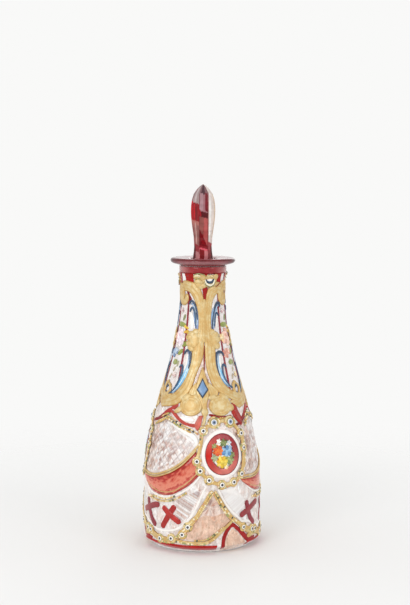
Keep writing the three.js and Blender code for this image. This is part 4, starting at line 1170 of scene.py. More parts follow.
# Ruby overlay left on the neck, shoulder, belly and foot
ruby = {
    "lift": 0.06,
    "thickness": 0.4,
    "ridgeWidth": 1.5,
    "collar": (198.3, 202.9),
    # Round the collar from the front: red at front and back, painted pale towards the two sides as painted
    # light where the backdrop shows through
    "collarRubyAndLight": (
        "#A63236", "#AE3C40", "#C68684", "#DCC0BE", "#BE7270", "#A83438", "#B24A4C", "#A63236", "#BE7270",
        "#DCC0BE", "#C68684", "#AE3C40", "#A63236",
    ),
    "ridgeTone": "#9C3C46",
    "blocks": [
        ([(-50, 199), (-37, 199), (-24, 199)], [(-48, 190), (-37, 189), (-24, 188)], "#B4120E"),
        ([(-3, 199), (5, 199), (12, 199)], [(-1, 195), (5, 193), (10, 195)], "#AA1210"),
        ([(30, 199), (42, 199), (53, 199)], [(34, 190), (42, 188), (52, 188)], "#B4120E"),
        ([(-3, 190.6), (1.6, 182), (5.6, 176)], [(14, 190.6), (10.8, 182), (7, 176)], "#AE2420"),
        ([(-45, 186.4), (-36, 182.6), (-29, 180)], [(-44, 184.2), (-38, 179), (-34.5, 176)], "#8E1A1C"),
        ([(2.6, 147), (2.2, 138), (2.8, 128.6)], [(4.4, 147), (4.8, 138), (3.8, 128.6)], "#9A2420"),
    ],
    "salmon": [(-9.6, 91.6, -5, 88), (-6.8, 95, -1.8, 90.8), (-3.8, 98, 1.2, 98.6)],
    "shoulder": [
        (
            [(-78, 90.6), (-68, 92.4), (-58, 95.4), (-48, 99.4), (-41, 101.8), (-33, 105.4)],
            [1.6, 2.2, 3.0, 3.8, 3.6, 2.6],
        ),
        ([(-40, 100.4), (-34, 97.8), (-27, 94.8), (-19, 92.4), (-8, 91.2)], [1.8, 1.8, 1.9, 1.7, 2.6]),
        ([(8.5, 98.9), (13, 98.2), (18, 97.2), (28, 96.9), (38, 97.6)], [1.2, 2.4, 1.6, 0.9, 0.8]),
    ],
    "shoulderTones": [("#8A2A30", "#9C2E2E", "#C23A32", "#D25A50"), "#D0584C", "#9E201C"],
    "wedge": (
        [(43.5, 108.5), (41, 102), (40, 97), (50, 89.5)], [(46.5, 108), (51, 102), (54.5, 97), (58, 94)],
    ),
    "swag": (
        [(-78.5, 52.4), (-62, 51.8), (-45, 54), (-30, 58.4), (-20, 63.4), (-11, 70), (-5.8, 74)],
        [
            (-77, 50.4), (-68, 46), (-60, 43), (-50, 41), (-40, 40.6), (-30, 42), (-20, 45.8), (-10, 51),
            (-1.5, 58),
        ],
    ),
    "crosses": [
        [(-26.5, 34.2), (-34, 26), (-42, 16.5)], [(-40.5, 32.6), (-32, 27.2), (-20.5, 22)],
        [(-65, 36), (-62.5, 29), (-58, 22), (-50.5, 16.8)],
        [(-74, 25.5), (-61, 29.5), (-52, 32), (-45, 33)],
    ],
    "crossWidth": 4.2,
    "farNudge": -6,
    "crossTones": [["#B83430", "#C43C36"], ["#A03C46", "#A84448"]],
    "footBand": (6.3, 2.2),
    "archOuter": [
        (19.4, 2.6), (19.6, 7), (20.4, 11.6), (22.6, 15.6), (26, 19), (31, 21.7), (36, 19.2), (42, 15.6),
        (50, 10.8), (57, 8.6), (64, 8),
    ],
    "archInner": [
        (23.6, 2.6), (23.2, 7), (24, 10.6), (25.6, 13.6), (28, 16.4), (31.2, 18.4), (35, 16.4), (41, 12),
        (47, 7.4), (52, 5.6), (62, 4.6),
    ],
    "collarStep": 4,
    "collarEdge": 0.9,
    "edgeLift": 0.1,
    "collarEdgeTone": "#8E1010",
    "ridgeSpread": 1.3,
    "ridgeEnds": (1.5, 197.5),
    "ridgePoints": 24,
    "salmonTones": ("#D86858", "#E58070", "#DA7060"),
    "wedgeTone": "#B8362E",
    "raised": 0.3,
    "footEnds": (50, 23),
    "footTone": "#C01410",
    "archTone": "#AE1C1C",
}


def rubyNeck():
    lift, thickness = ruby["lift"], ruby["thickness"]
    low, high = ruby["collar"]
    around = range(0, 360, ruby["collarStep"])
    # The collar ring carries painted light: pale at its two sides
    collar = ring([(a, (low + high) / 2) for a in around], high - low, lift, thickness, "flat")
    edge = ring([(a, low) for a in around], ruby["collarEdge"], lift + ruby["edgeLift"], thickness)
    neck = [(collar, ruby["collarRubyAndLight"]), (edge, ruby["collarEdgeTone"])]
    shoulder = []
    for k in range(repeats):
        for start in (blank["ridgeLeft"], blank["ridgeLeft"] + blank["broadPanel"]):
            gap, top = ruby["ridgeEnds"]
            heights = np.linspace(float(panelFoot(start)) + gap, top, ruby["ridgePoints"])
            widths = [ruby["ridgeWidth"] * ruby["ridgeSpread"], ruby["ridgeWidth"]]
            ridge = stroke(shifted([(start, h) for h in heights], k), widths, lift, thickness)
            neck.append((ridge, ruby["ridgeTone"]))
        for upper, lower, tone in ruby["blocks"]:
            neck.append((field(edgesAt((upper, lower), k), lift, thickness, count=24), tone))
        for (path, widths), tone in zip(ruby["shoulder"], ruby["shoulderTones"]):
            shoulder.append((stroke(shifted(path, k), widths, lift, thickness, "flat"), tone))
        shoulder.append((field(edgesAt(ruby["salmon"], k), lift, thickness, count=12), ruby["salmonTones"]))
    for k in range(repeats - 1):
        shoulder.append((field(edgesAt(ruby["wedge"], k), lift, thickness, count=20), ruby["wedgeTone"]))
    addPainted("rubyNeckFrame", neck, rubyFinish)
    addPainted("rubyShoulder", shoulder, rubyFinish, "ruby_shoulder_line")


def rubyBody(k):
    lift, thickness, label = ruby["lift"], ruby["thickness"], k + 1
    swag = field(edgesAt(ruby["swag"], k), lift, thickness, lanes=9, count=70)
    addPiece(f"rubySwag{label}", [swag], swagFinish)
    for i, place in enumerate(("Near", "Far")):
        nudge = ruby["farNudge"] if k == 1 and place == "Far" else 0
        bars = []
        for j, tone in enumerate(ruby["crossTones"][i]):
            path = [(a + nudge, h) for a, h in ruby["crosses"][2 * i + j]]
            bar = stroke(shifted(path, k), ruby["crossWidth"], lift + ruby["raised"] * j, thickness, "flat")
            bars.append((bar, tone))
        addPainted(f"rubyCross{place}{label}", bars, rubyFinish)
    start, end = ruby["footEnds"]
    angles = (np.linspace(start - turn, end, 60) + k * turn)[::6]
    edges = [[(a, height) for a in angles] for height in ruby["footBand"]]
    foot = field(edges, lift + ruby["raised"], thickness, lanes=8, count=80)
    addPainted(f"rubyFootBand{label}", [(foot, ruby["footTone"])], rubyFinish)
    arch = field(edgesAt((ruby["archOuter"], ruby["archInner"]), k), lift, thickness, lanes=6, count=60)
    addPainted(f"rubyArch{label}", [(arch, ruby["archTone"])], rubyFinish)


rubyNeck()
for k in range(repeats):
    rubyBody(k)
print("ruby overlay")

# Medallion, with its posy: place, size, petals, outer and inner tone, turn
medallion = {
    "centre": (21.8, 71.4),
    "half": (10.5, 12.2),
    "band": 5.0,
    # white: width and offset of the white band round the ring, a painted highlight
    "white": (3.0, 3.5),
    "tones": (
        "#BC5450", "#A8383E", "#B04248", "#D8625A", "#D8241C", "#D0524A", "#E8867A", "#E07A70", "#BC5450",
    ),
    "edgeTone": "#84303A",
    "edgeWidth": 0.5,
    "edgeInset": 0.25,
    "groundInset": 0.1,
    "edgeLift": 0.35,
    "posyLift": 0.22,
    "posyStagger": 0.04,
    "thickness": {"band": 0.5, "edge": 0.3, "ground": 0.25, "white": 0.35},
    "posy": [
        (16.8, 74.2, 4.1, 7, "#D4541E", "#E6782C", 0), (26.0, 73.2, 4.3, 6, "#5B8CBC", "#8FB8D6", 20),
        (20.6, 66.0, 4.5, 7, "#DDB62A", "#EBCF50", 10), (29.6, 67.0, 3.2, 5, "#8A9A5C", "#A2AC72", 0),
        (13.0, 69.0, 2.8, 5, "#9AA47C", "#B2B890", 30), (23.0, 79.4, 2.9, 5, "#6C7A44", "#8A945C", 15),
        (12.8, 77.4, 2.1, 5, "#8B9450", "#A4A46C", 0), (32.4, 70.6, 2.2, 5, "#6E7C48", "#8A9058", 40),
        (18.0, 80.6, 1.9, 5, "#EAE2D6", "#F8F2EA", 0), (29.4, 79.2, 2.1, 5, "#E0D8CC", "#D2DEE6", 0),
        (24.6, 62.4, 1.8, 5, "#EDE4D2", "#F0DCA8", 0), (24.2, 76.4, 1.1, 4, "#3C3A5C", "#545878", 0),
        (24.0, 73.6, 1.0, 4, "#44426A", "#5C6486", 30), (15.8, 76.6, 1.2, 4, "#8C3416", "#A8441C", 0),
        (12.6, 73.0, 1.4, 4, "#B8401C", "#D0602C", 0), (25.2, 69.2, 1.5, 5, "#84903A", "#B8AC44", 0),
        (16.2, 67.6, 1.3, 4, "#B85E22", "#D8842E", 0), (20.0, 68.6, 1.2, 4, "#C08420", "#D89C2C", 20),
        (30.4, 76.2, 1.6, 5, "#C4D6E2", "#AEC8DC", 0), (17.4, 63.2, 1.3, 5, "#B05A50", "#D8B8A4", 0),
        (26.8, 80.6, 1.0, 4, "#4E5A34", "#66724A", 0), (20.4, 77.6, 1.1, 4, "#59663C", "#74804E", 0),
        (28.2, 64.4, 1.2, 4, "#7C8A64", "#98A47E", 0),
    ],
}
# Petals and heart of a bloom as shares of its radius, and the edge and crown of each
petal = {
    "reach": 0.56,
    "half": (0.5, 0.38),
    "heart": 0.36,
    "sides": 12,
    "overlap": 0.05,
    "rise": (0.2, 0.45),
    "heartLift": 0.3,
    "heartRise": (0.25, 0.4),
}


def bloom(angle, height, radius, petals, outer, inner, lift, turned=0.0):
    scale = float(perDegree(angle, height))
    pairs = []
    for i in range(petals):
        way = turned + 360 * i / petals
        x, y = (petal["reach"] * radius * f(math.radians(way)) for f in (math.cos, math.sin))
        shape = oval(*(half * radius for half in petal["half"]), petal["sides"], way)
        base = lift + petal["overlap"] * (i % 2)
        part = dome(angle + x / scale, height + y, shape, base, *petal["rise"], rings=3)
        pairs.append((part, outer if i % 2 else inner))
    heart = oval(petal["heart"] * radius, petal["heart"] * radius, petal["sides"])
    middle = dome(angle, height, heart, lift + petal["heartLift"], *petal["heartRise"], rings=3)
    return pairs + [(middle, inner)]


def medallionPieces(k):
    label, lift = k + 1, ruby["lift"]
    angle, height = shifted([medallion["centre"]], k)[0]

    def wider(more):
        return [half + more for half in medallion["half"]]

    half, thickness = medallion["band"] / 2, medallion["thickness"]
    band = ring(ringPath(angle, height, *wider(0)), medallion["band"], lift, thickness["band"], "flat")
    pairs = [(band, medallion["tones"])]
    for more in (medallion["edgeInset"] - half, half - medallion["edgeInset"]):
        path = ringPath(angle, height, *wider(more))
        edge = ring(path, medallion["edgeWidth"], lift + medallion["edgeLift"], thickness["edge"])
        pairs.append((edge, medallion["edgeTone"]))
    addPainted(f"medallionRing{label}", pairs, rubyFinish)
    face = oval(*wider(medallion["groundInset"] - half), count=48)
    ground = dome(angle, height, face, lift, thickness["ground"], crown=0.0, rings=6)
    # Painted highlight: a white band round the ruby ring stands for the bright polished bevel cut clear there
    width, offset = medallion["white"]
    edge = ring(ringPath(angle, height, *wider(offset)), width, lift, thickness["white"])
    addPiece(f"medallionGround{label}", [ground, edge], whiteFinish)
    posy = []
    for i, (a, *flower, turned) in enumerate(medallion["posy"]):
        base = lift + medallion["posyLift"] + medallion["posyStagger"] * (i % 3)
        posy += bloom(a + k * turn, *flower, base, turned)
    addPainted(f"medallionPosy{label}", posy, paintFinish)


for k in range(repeats):
    medallionPieces(k)
print("medallions")

# Raised gilding. Stations give both edges of a limb; leaves and lobes are place, half sizes, turn.
gilt = {
    "lift": 0.3,
    "thickness": 0.8,
    "limbs": [
        [
            (-64, 192, -64, 184.5), (-48, 193, -50, 185.2), (-33, 192.4, -37, 184.6),
            (-20, 191.6, -28, 182), (-8, 188.4, -20, 178), (-0.4, 183.4, -14, 173),
            (3.6, 177.6, -10.8, 167.5), (3.9, 167, -9.6, 161), (3.7, 157, -12, 155),
            (3.5, 149, -17.5, 149.5), (2.4, 142, -20.2, 143), (-0.5, 136.5, -20.6, 137),
            (-6.5, 130, -22.4, 131), (-11, 124.5, -26.5, 125), (-14, 119, -31.5, 120),
            (-18, 114.6, -37.5, 115.8), (-24, 110.4, -45, 112.2), (-31, 106.4, -54, 110.2),
            (-40, 104, -63, 109.4), (-52, 102.6, -71, 108.6), (-64, 101.4, -82, 107.4),
        ],
        [
            (63, 189.5, 62, 178.5), (52, 191, 52, 180.5), (40, 190.6, 42, 183.4), (30, 189.6, 34, 182),
            (18, 188.8, 27.5, 178.8), (10.8, 184.4, 23.4, 174), (7.6, 178.2, 21.4, 168),
            (4.7, 168, 20.4, 161), (4.5, 158, 22, 155), (4.5, 150, 26, 149.5), (4.9, 143, 26.2, 143),
            (5.4, 137, 25.4, 137), (7.4, 130.5, 26.6, 131), (11, 124.5, 30, 125.4),
            (15, 119.6, 34.6, 120.6), (20, 116, 41, 117), (26, 113.4, 48, 114.6), (33, 111.2, 56, 113.2),
            (42, 108.6, 64, 112.6), (52, 106, 72, 112), (62, 103.4, 82, 109.4),
        ],
    ],
    "spear": [
        (0.4, 132, 1.2, 132), (-5, 126, 5.5, 126), (-8.6, 121, 9, 121), (-10.4, 116.6, 10.8, 116.6),
        (-7, 111.6, 9.4, 111.6), (-1.8, 107, 6.6, 107), (0.6, 102, 6, 102), (1.4, 96, 5, 96),
        (-1, 91.4, 3, 91.4),
    ],
    "stem": ([(4.1, 180), (4.1, 170), (4.0, 160), (3.9, 149)], [2.0, 3.4, 4.4, 5.2, 3.4]),
    "rosette": {
        "middle": (17.6, 192.9),
        "petals": 10,
        "reach": 3.5,
        "half": (1.9, 1.5),
        "disc": (3.9, 3.6),
    },
    "strokes": [
        (
            [(-66, 188), (-68, 181), (-60, 177.4), (-50, 177.6), (-44, 180.4), (-46, 183.4)],
            [4.0, 5.4, 5.2, 4.4, 2.6],
        ),
        ([(58, 188), (62, 182), (58, 178.6), (52, 180)], [3.0, 3.6, 2.6]),
        (
            [(-60, 120.5), (-67, 118), (-66, 112), (-57, 111.6), (-53, 116), (-58, 118.5)],
            [2.4, 3.0, 2.4, 1.4],
        ),
        ([(60, 119), (66, 117), (68, 113)], [1.6, 2.4, 2.0]),
    ],
    "fills": [
        ([(-9.4, 121), (-11.2, 117.8), (-13.2, 114.4), (-14, 111)], [0.6, 3.4, 6.0, 6.4]),
        ([(9.8, 121), (12.6, 117.8), (16.4, 114.6), (18.4, 111)], [0.8, 4.2, 7.8, 7.8]),
    ],
    "lobes": [(-14.8, 105.2, 8.3, 7.4), (24.4, 105, 8.5, 7.3)],
    "leaves": [
        (-18, 150.6, 4.6, 6.2, 0), (-24.6, 154.6, 3.2, 2.4, 20), (-29.6, 152.6, 2.6, 2.2, 30),
        (-28, 148, 2.8, 2.2, -20), (-23, 144.8, 2.8, 2.0, -30), (-15, 156.6, 2.4, 2.2, 0),
        (24, 150.6, 4.2, 6.0, 0), (29, 154.4, 2.8, 2.3, -20), (33, 151, 2.6, 2.2, 0),
        (30.6, 146.4, 2.6, 2.3, 30), (21, 156.4, 2.4, 2.2, 0), (-13.4, 195.6, 3.0, 2.3, -6),
        (-3, 195.8, 3.2, 2.4, 0), (-9, 192.6, 3.0, 1.6, -24), (3, 189.6, 2.2, 1.8, 30),
        (-9, 189.6, 3.6, 2.2, -30), (-14, 192.4, 2.2, 2.2, 0), (33, 195.6, 2.2, 2.4, 0),
        (33, 190.4, 3.2, 1.9, 0), (40, 190.6, 2.6, 1.5, 0), (-22, 110.6, 4.2, 2.2, 35),
        (-8, 111.2, 3.0, 1.9, -20), (14, 111.2, 3.2, 1.9, 20), (31, 111, 4.2, 2.0, -30),
        (-31, 101.6, 3.6, 2.0, 30), (39, 103, 3.0, 2.6, 0), (3.4, 101, 2.4, 3.4, 0),
    ],
    "barePast": (30, 188),
    "lobeRings": [(0.86, 1.5), (0.5, 1.2)],
    # how far each lies above the gilding's own lift, so that one laps over the next
    "above": {"limb": 0.05, "spear": 0.2, "stem": 0.1, "fill": -0.12, "stroke": 0.12, "lobe": 0.15,
              "leaf": 0.12, "disc": 0.3, "petal": 0.2},
    # a step between neighbours, so that where they overlap no two faces coincide
    "stagger": {"stroke": 0.04, "leaf": 0.06, "petal": 0.06},
    "lobeRingLift": 0.45,
    "lobeRingThickness": 0.45,
    "rosetteSquash": 0.85,
    # edge and crown of each boss
    "lobeRise": (0.5, 0.35),
    "leafRise": (0.55, 0.45),
    "discRise": (0.6, 0.2),
    "petalRise": (0.5, 0.45),
    "jewelRise": (0.55, 0.35),
}


def lobe(angle, height, halfWidth, halfHeight, lift):
    parts = [dome(angle, height, oval(halfWidth, halfHeight, count=40), lift, *gilt["lobeRise"], rings=6)]
    for share, width in gilt["lobeRings"]:
        path = ringPath(angle, height, halfWidth * share, halfHeight * share, count=48)
        parts.append(ring(path, width, lift + gilt["lobeRingLift"], gilt["lobeRingThickness"], step=0.9))
    return parts


def giltScrolls(k):
    thickness, stagger = gilt["thickness"], gilt["stagger"]
    lift = {key: gilt["lift"] + above for key, above in gilt["above"].items()}
    parts = []
    for i, limb in enumerate(gilt["limbs"]):
        base = gilt["lift"] + gilt["above"]["limb"] * i
        parts.append(field(edgesAt(limb, k), base, thickness, lanes=19, count=150, combed=True))
    spear = edgesAt(gilt["spear"], k)
    parts.append(field(spear, lift["spear"], thickness, lanes=13, count=60, combed=True))
    path, widths = gilt["stem"]
    parts.append(stroke(shifted(path, k), widths, lift["stem"], thickness, "grooved"))
    for path, widths in gilt["fills"]:
        parts.append(stroke(shifted(path, k), widths, lift["fill"], thickness, "grooved"))
    for i, (path, widths) in enumerate(gilt["strokes"]):
        base = lift["stroke"] + stagger["stroke"] * (i % 3)
        parts.append(stroke(shifted(path, k), widths, base, thickness))
    for angle, *size in gilt["lobes"]:
        parts += lobe(angle + k * turn, *size, lift["lobe"])
    for i, (angle, height, halfWidth, halfHeight, turned) in enumerate(gilt["leaves"]):
        if k == 2 and angle > gilt["barePast"][0] and height > gilt["barePast"][1]:
            continue  # the last repeat's flower at the neck's top has fewer petals on this side
        shape = oval(halfWidth, halfHeight, count=20, turned=turned)
        base = lift["leaf"] + stagger["leaf"] * (i % 3)
        parts.append(dome(angle + k * turn, height, shape, base, *gilt["leafRise"]))
    rosette = gilt["rosette"]
    angle, height = shifted([rosette["middle"]], k)[0]
    scale = float(perDegree(angle, height))
    parts.append(dome(angle, height, oval(*rosette["disc"]), lift["disc"], *gilt["discRise"]))
    for i in range(rosette["petals"]):
        way = 2 * math.pi * i / rosette["petals"]
        x = rosette["reach"] * math.cos(way) / scale
        y = gilt["rosetteSquash"] * rosette["reach"] * math.sin(way)
        shape = oval(*rosette["half"], count=16, turned=math.degrees(way))
        base = lift["petal"] + stagger["petal"] * (i % 2)
        parts.append(dome(angle + x, height + y, shape, base, *gilt["petalRise"]))
    addPiece(f"giltScroll{k + 1}", parts, goldFinish)


# Enamel jewels on the wreath, the large ones above it, and the rows of small beads
jewels = {
    "wreath": [
        (1.5, 88), (46.5, 84.5), (47.5, 74.3), (41.5, 56.3), (32, 51.2), (19.5, 50), (7, 53.7),
        (-1.5, 60.3), (-4.8, 66.9),
    ],
    "large": [(14, 93.5), (33.5, 93.5)],
    "beadRing": 2.75,
    "largeBeadRing": 4.1,
    "dots": [(-50, 95.6), (-30, 93.4), (-24.5, 91.8), (-14, 88.8), (-9.4, 87.6), (22, 34), (30.4, 25.6)],
    "eye": (17.8, 193.4),
    "lines": [
        (
            [(7.6, 194.4), (10.8, 192.6), (17.2, 191.9), (23.6, 192.6), (27.4, 194.6)],
            [0.4, 1.4, 2.0, 1.5, 0.5], "#25405A",
        ),
        (
            [(5.4, 194), (9, 191.2), (17.4, 189.9), (25.8, 191), (30, 194)], [0.6, 1.2, 1.5, 1.2, 0.6],
            "#F0E8D0",
        ),
        (
            [(4.2, 192.6), (8.6, 189.9), (17.4, 188.7), (26.4, 189.7), (31, 192.6)],
            [0.3, 0.5, 0.6, 0.5, 0.3], "#8C8A5C",
        ),
        ([(7.6, 195.2), (17.6, 196.9), (27.4, 195.2)], [0.3, 0.7, 0.3], "#EAD9A8"),
        ([(-20, 196.2), (-13, 197), (-5, 196.4)], [0.8, 1.7, 1.2], "#E2D5AE"),
        ([(-20, 197.6), (-12, 198.3), (-4, 198.2), (5, 197)], [0.4, 0.7, 0.5], "#9AA070"),
        ([(-20, 193.8), (-13, 194.6), (-6, 194.4)], [0.4, 0.7, 0.4], "#A09A60"),
        ([(31, 188.8), (38, 189.4), (46, 191.6)], [0.4, 0.8, 0.4], "#8A4A2A"),
    ],
    "rows": [
        [(9.4, 45), (6, 41.5), (1.6, 36.4), (-3, 30.6), (-8, 24.8), (-14, 19.6), (-20, 14.6), (-26, 10.8)],
        [(11.2, 44.4), (7.6, 40.4), (3.2, 35), (-1.4, 29.2), (-6.4, 23.6), (-12, 18.4), (-18, 13.4)],
        [(13.4, 44.4), (18, 38.6), (23, 32.6), (28.4, 27.2), (34, 23.4), (41, 20), (49, 16.8), (58, 14)],
        [(11.8, 43.4), (16, 37.8), (21, 31.8), (26.6, 26.4), (32, 22.6)],
        [(-26, 8.6), (-15, 7.6), (-4, 7.2), (5, 8), (12, 11)],
        [(-6, 10), (2, 10.4), (9, 12.4), (15, 15.8), (21, 19)], [(-46, 6.8), (-36, 6.6), (-27, 7.4)],
        [(-15, 44), (-25, 39.4), (-35, 36.8), (-50, 36.2), (-62, 38)],
        [
            (-62, 91.4), (-54, 93.6), (-45, 96.2), (-36, 95.4), (-28, 92.8), (-20, 90.8), (-12, 88.8),
            (-5, 86),
        ],
        [(-64, 89.6), (-55, 92.2), (-46, 94.8), (-37, 93.8), (-29, 91.2), (-21, 89.2), (-13, 87)],
        [(-56, 95.4), (-50, 97.4), (-45, 98.2)], [(-62, 37.4), (-50, 38.6), (-38, 38.2), (-27, 41)],
        [(-2.6, 78.5), (-1.4, 83), (0.4, 87.4)], [(4, 90.6), (9, 93)], [(18, 95.6), (24, 96.4), (30, 95.6)],
        [(38, 92.4), (43, 88.6)], [(49.4, 81), (49.6, 77)], [(49, 71), (48, 66), (46.5, 61)],
        [(38.6, 52.6), (35.6, 51)], [(29, 49), (23, 48)], [(16, 50), (10.6, 51.2)], [(4, 55.6), (1, 58)],
        [(-4.4, 62.6), (-5.6, 65)],
    ],
    "foot": [(-13, 19.7), (-18.5, 13.9), (-30, 10.3), (-43.5, 8.6), (-57.5, 13.4), (44, 17.2), (57, 14)],
    "above": {"studs": 0.3, "dots": 0.4, "rows": 0.5, "beads": 0.55, "eyes": 1.0, "lines": 1.3},
    "largeSquash": 0.85,
    "eyeHalf": (2.3, 1.15),
    "eyeRise": (0.25, 0.25),
    "lineThickness": 0.45,
    "dot": (0.85, 0.8),
    # width, height, spacing
    "settingBead": (0.62, 0.45, 1.05),
    "borderBead": (0.74, 0.5, 1.28),
    # piece, width, height, finish, slot
    "layers": [
        ("jewelCups", 3.5, 0.7, goldFinish, "raised_gold"),
        ("jewelBezels", 2.85, 0.83, bronzeFinish, "raised_gold"),
        ("jewelRings", 2.35, 0.98, whiteFinish, "white_enamel"),
        ("jewelPupils", 1.35, 1.25, pupilFinish, "blue_enamel"),
    ],
    "largeLayers": [
        ("largeCups", 4.6, 0.7, goldFinish, "raised_gold"),
        ("largeBezels", 3.9, 0.85, bronzeFinish, "raised_gold"),
        ("largeRings", 3.2, 1.0, whiteFinish, "white_enamel"),
        ("largeStones", 2.3, 1.28, stoneFinish, "blue_enamel"),
        ("largePupils", 1.5, 1.46, darkFinish, "blue_enamel"),
    ],
}
wreath = {
    "path": [
        (-1, 80), (1.5, 88), (14, 93.5), (33.5, 93.5), (46.5, 84.5), (47.5, 74.3), (46, 65), (41.5, 56.3),
        (32, 51.2), (19.5, 50), (7, 53.7), (-1.5, 60.3), (-4.8, 66.9), (-3, 73),
    ],
    "width": 2.7,
    "disc": 3.1,
    "largeDisc": (4.5, 3.9),
    "footDisc": (2.9, 2.7),
    "discLift": 0.05,
    "wideDiscLift": 0.1,
}
border = {
    "upper": [
        (-82, 55), (-62, 53.9), (-50, 54.9), (-40, 57.3), (-30, 60.8), (-20, 66), (-10, 73), (-3, 78.5),
    ],
    "lower": [
        (-80, 52.8), (-62, 52.2), (-50, 53.2), (-40, 55.6), (-30, 59), (-20, 64), (-11, 70.6), (-5.6, 75),
    ],
    "thin": [(-66, 47), (-60, 45.4), (-45, 43), (-30, 44.2), (-20, 48.2), (-10, 54.2), (-2.6, 60.6)],
    "bellLeft": [
        (10.5, 46), (7.5, 44), (3, 37.5), (-1.5, 32), (-5, 27.4), (-12, 21), (-18, 15.5), (-24, 11),
    ],
    "bellRight": [
        (12.5, 46), (16.5, 41), (21.5, 34.5), (27, 28.6), (32, 24.6), (38, 21), (44, 17.4), (50, 14.5),
        (58, 12),
    ],
    "bellFoot": [(-25, 9.4), (-15, 8.2), (0, 8.2), (8, 9.6), (13, 12), (19, 16), (25, 19.6), (30.5, 23)],
    "foot": [(-70, 9.6), (-57, 11.2), (-44, 8.8), (-34, 8.8), (-24, 9.6)],
    # widths, and the lift and thickness where they differ
    "swagLines": {
        "upper": ([1.2, 1.5, 1.5], gilt["lift"], gilt["thickness"]),
        "lower": ([0.9, 1.2, 1.2], gilt["lift"] - 0.1, gilt["thickness"]),
        "thin": ([0.5, 0.7, 0.6], ruby["lift"] + 0.25, 0.4),
    },
    "bellLines": {
        "bellLeft": [1.6, 2.2, 2.4, 4.2, 3.6],
        "bellRight": [1.6, 2.2, 2.4, 2.8, 4.0, 4.2],
        "bellFoot": [2.4, 2.2, 2.2, 2.0],
        "foot": [3.6, 4.2, 4.2, 3.4],
    },
    "bellThickness": 0.8,
}


def giltWreaths(k):
    lift, thickness = gilt["lift"], gilt["thickness"]
    parts = [stroke(shifted(wreath["path"], k), wreath["width"], lift, thickness, closed=True)]
    disc = oval(wreath["disc"], wreath["disc"], count=24)
    for spot in shifted(jewels["wreath"], k):
        parts.append(dome(*spot, disc, lift + wreath["discLift"], *gilt["jewelRise"]))
    disc = oval(*wreath["largeDisc"])
    for spot in shifted(jewels["large"], k):
        parts.append(dome(*spot, disc, lift + wreath["wideDiscLift"], *gilt["jewelRise"]))
    for key, shape in border["swagLines"].items():
        parts.append(stroke(shifted(border[key], k), *shape))
    addPiece(f"giltWreath{k + 1}", parts, goldFinish)


def giltFootBorder():
    lift, thickness = gilt["lift"], gilt["thickness"] * border["bellThickness"]
    disc = oval(*wreath["footDisc"], count=24)
    parts = []
    for k in range(repeats):
        for key, widths in border["bellLines"].items():
            parts.append(stroke(shifted(border[key], k), widths, lift, thickness, "flat"))
        for spot in shifted(jewels["foot"], k):
            parts.append(dome(*spot, disc, lift + wreath["wideDiscLift"], *gilt["lobeRise"]))
    addPiece("giltFootBorder", parts, goldFinish)


for k in range(repeats):
    giltScrolls(k)
    giltWreaths(k)
giltFootBorder()
print("gilding")


def jewelSettings():
    lift = {key: gilt["lift"] + above for key, above in jewels["above"].items()}
    spots, largeSpots = repeated(jewels["wreath"]) + repeated(jewels["foot"]), repeated(jewels["large"])
    for layers, places in ((jewels["layers"], spots), (jewels["largeLayers"], largeSpots)):
        for name, width, height, finish, slot in layers:
            addStuds(name, places, lift["studs"], width, height, finish, slot)
    reach, wide = jewels["beadRing"], jewels["largeBeadRing"]
    circles = [ringPath(*spot, reach, reach, count=24) for spot in spots]
    circles += [ringPath(*spot, wide, wide * jewels["largeSquash"], count=28) for spot in largeSpots]
    addBeads("settingBeads", circles, lift["beads"], *jewels["settingBead"], seed=9)
    dots = repeated(jewels["dots"])
    addStuds("borderDots", dots, lift["dots"], *jewels["dot"], pupilFinish, "blue_enamel")
    eye = oval(*jewels["eyeHalf"], count=24)
    eyes = [dome(*spot, eye, lift["eyes"], *jewels["eyeRise"], rings=3) for spot in repeated([jewels["eye"]])]
    addPiece("eyeWhites", eyes, whiteFinish, node="")
    lines = [(stroke(shifted(path, k), widths, lift["lines"], jewels["lineThickness"]), tone)
             for k in range(repeats) for path, widths, tone in jewels["lines"]]
    addPainted("flowerLines", lines, paintFinish, "")
    chains = [shifted(chain, k) for k in range(repeats) for chain in jewels["rows"]]
    addBeads("borderBeads", chains, lift["rows"], *jewels["borderBead"], seed=4)


jewelSettings()
print("jewels and beads")

# Blue accents with their dark outlines and white grounds: path, widths
accents = {
    "upperLeft": (
        [(-31, 176), (-25, 176.2), (-18.6, 173), (-14.6, 167), (-13.2, 161), (-13.2, 155.4)],
        [1.0, 3.4, 4.4, 4.2, 3.0, 1.2],
    ),
    "upperRight": (
        [(45, 175), (38.6, 175), (32, 171.6), (27.4, 165.6), (24.4, 159), (23.4, 155.6)],
        [1.2, 3.4, 4.4, 4.0, 2.8, 1.2],
    ),
    "lowerLeft": (
        [
            (-30, 142), (-25, 140.6), (-23.8, 135.6), (-26.6, 129.6), (-31.6, 123.4), (-37.6, 118),
            (-44, 114.4), (-51, 112.4), (-58, 111.8),
        ],
        [1.6, 2.8, 2.6, 3.4, 4.2, 3.8, 2.6, 1.6, 1.0],
    ),
    "lowerRight": (
        [
            (36, 141), (30.6, 140.6), (28, 136), (28.8, 130.4), (32.4, 124.8), (38, 120.6), (45, 117.8),
            (51.5, 116.4),
        ],
        [1.6, 2.8, 3.0, 3.8, 4.4, 3.8, 2.4, 1.2],
    ),
}
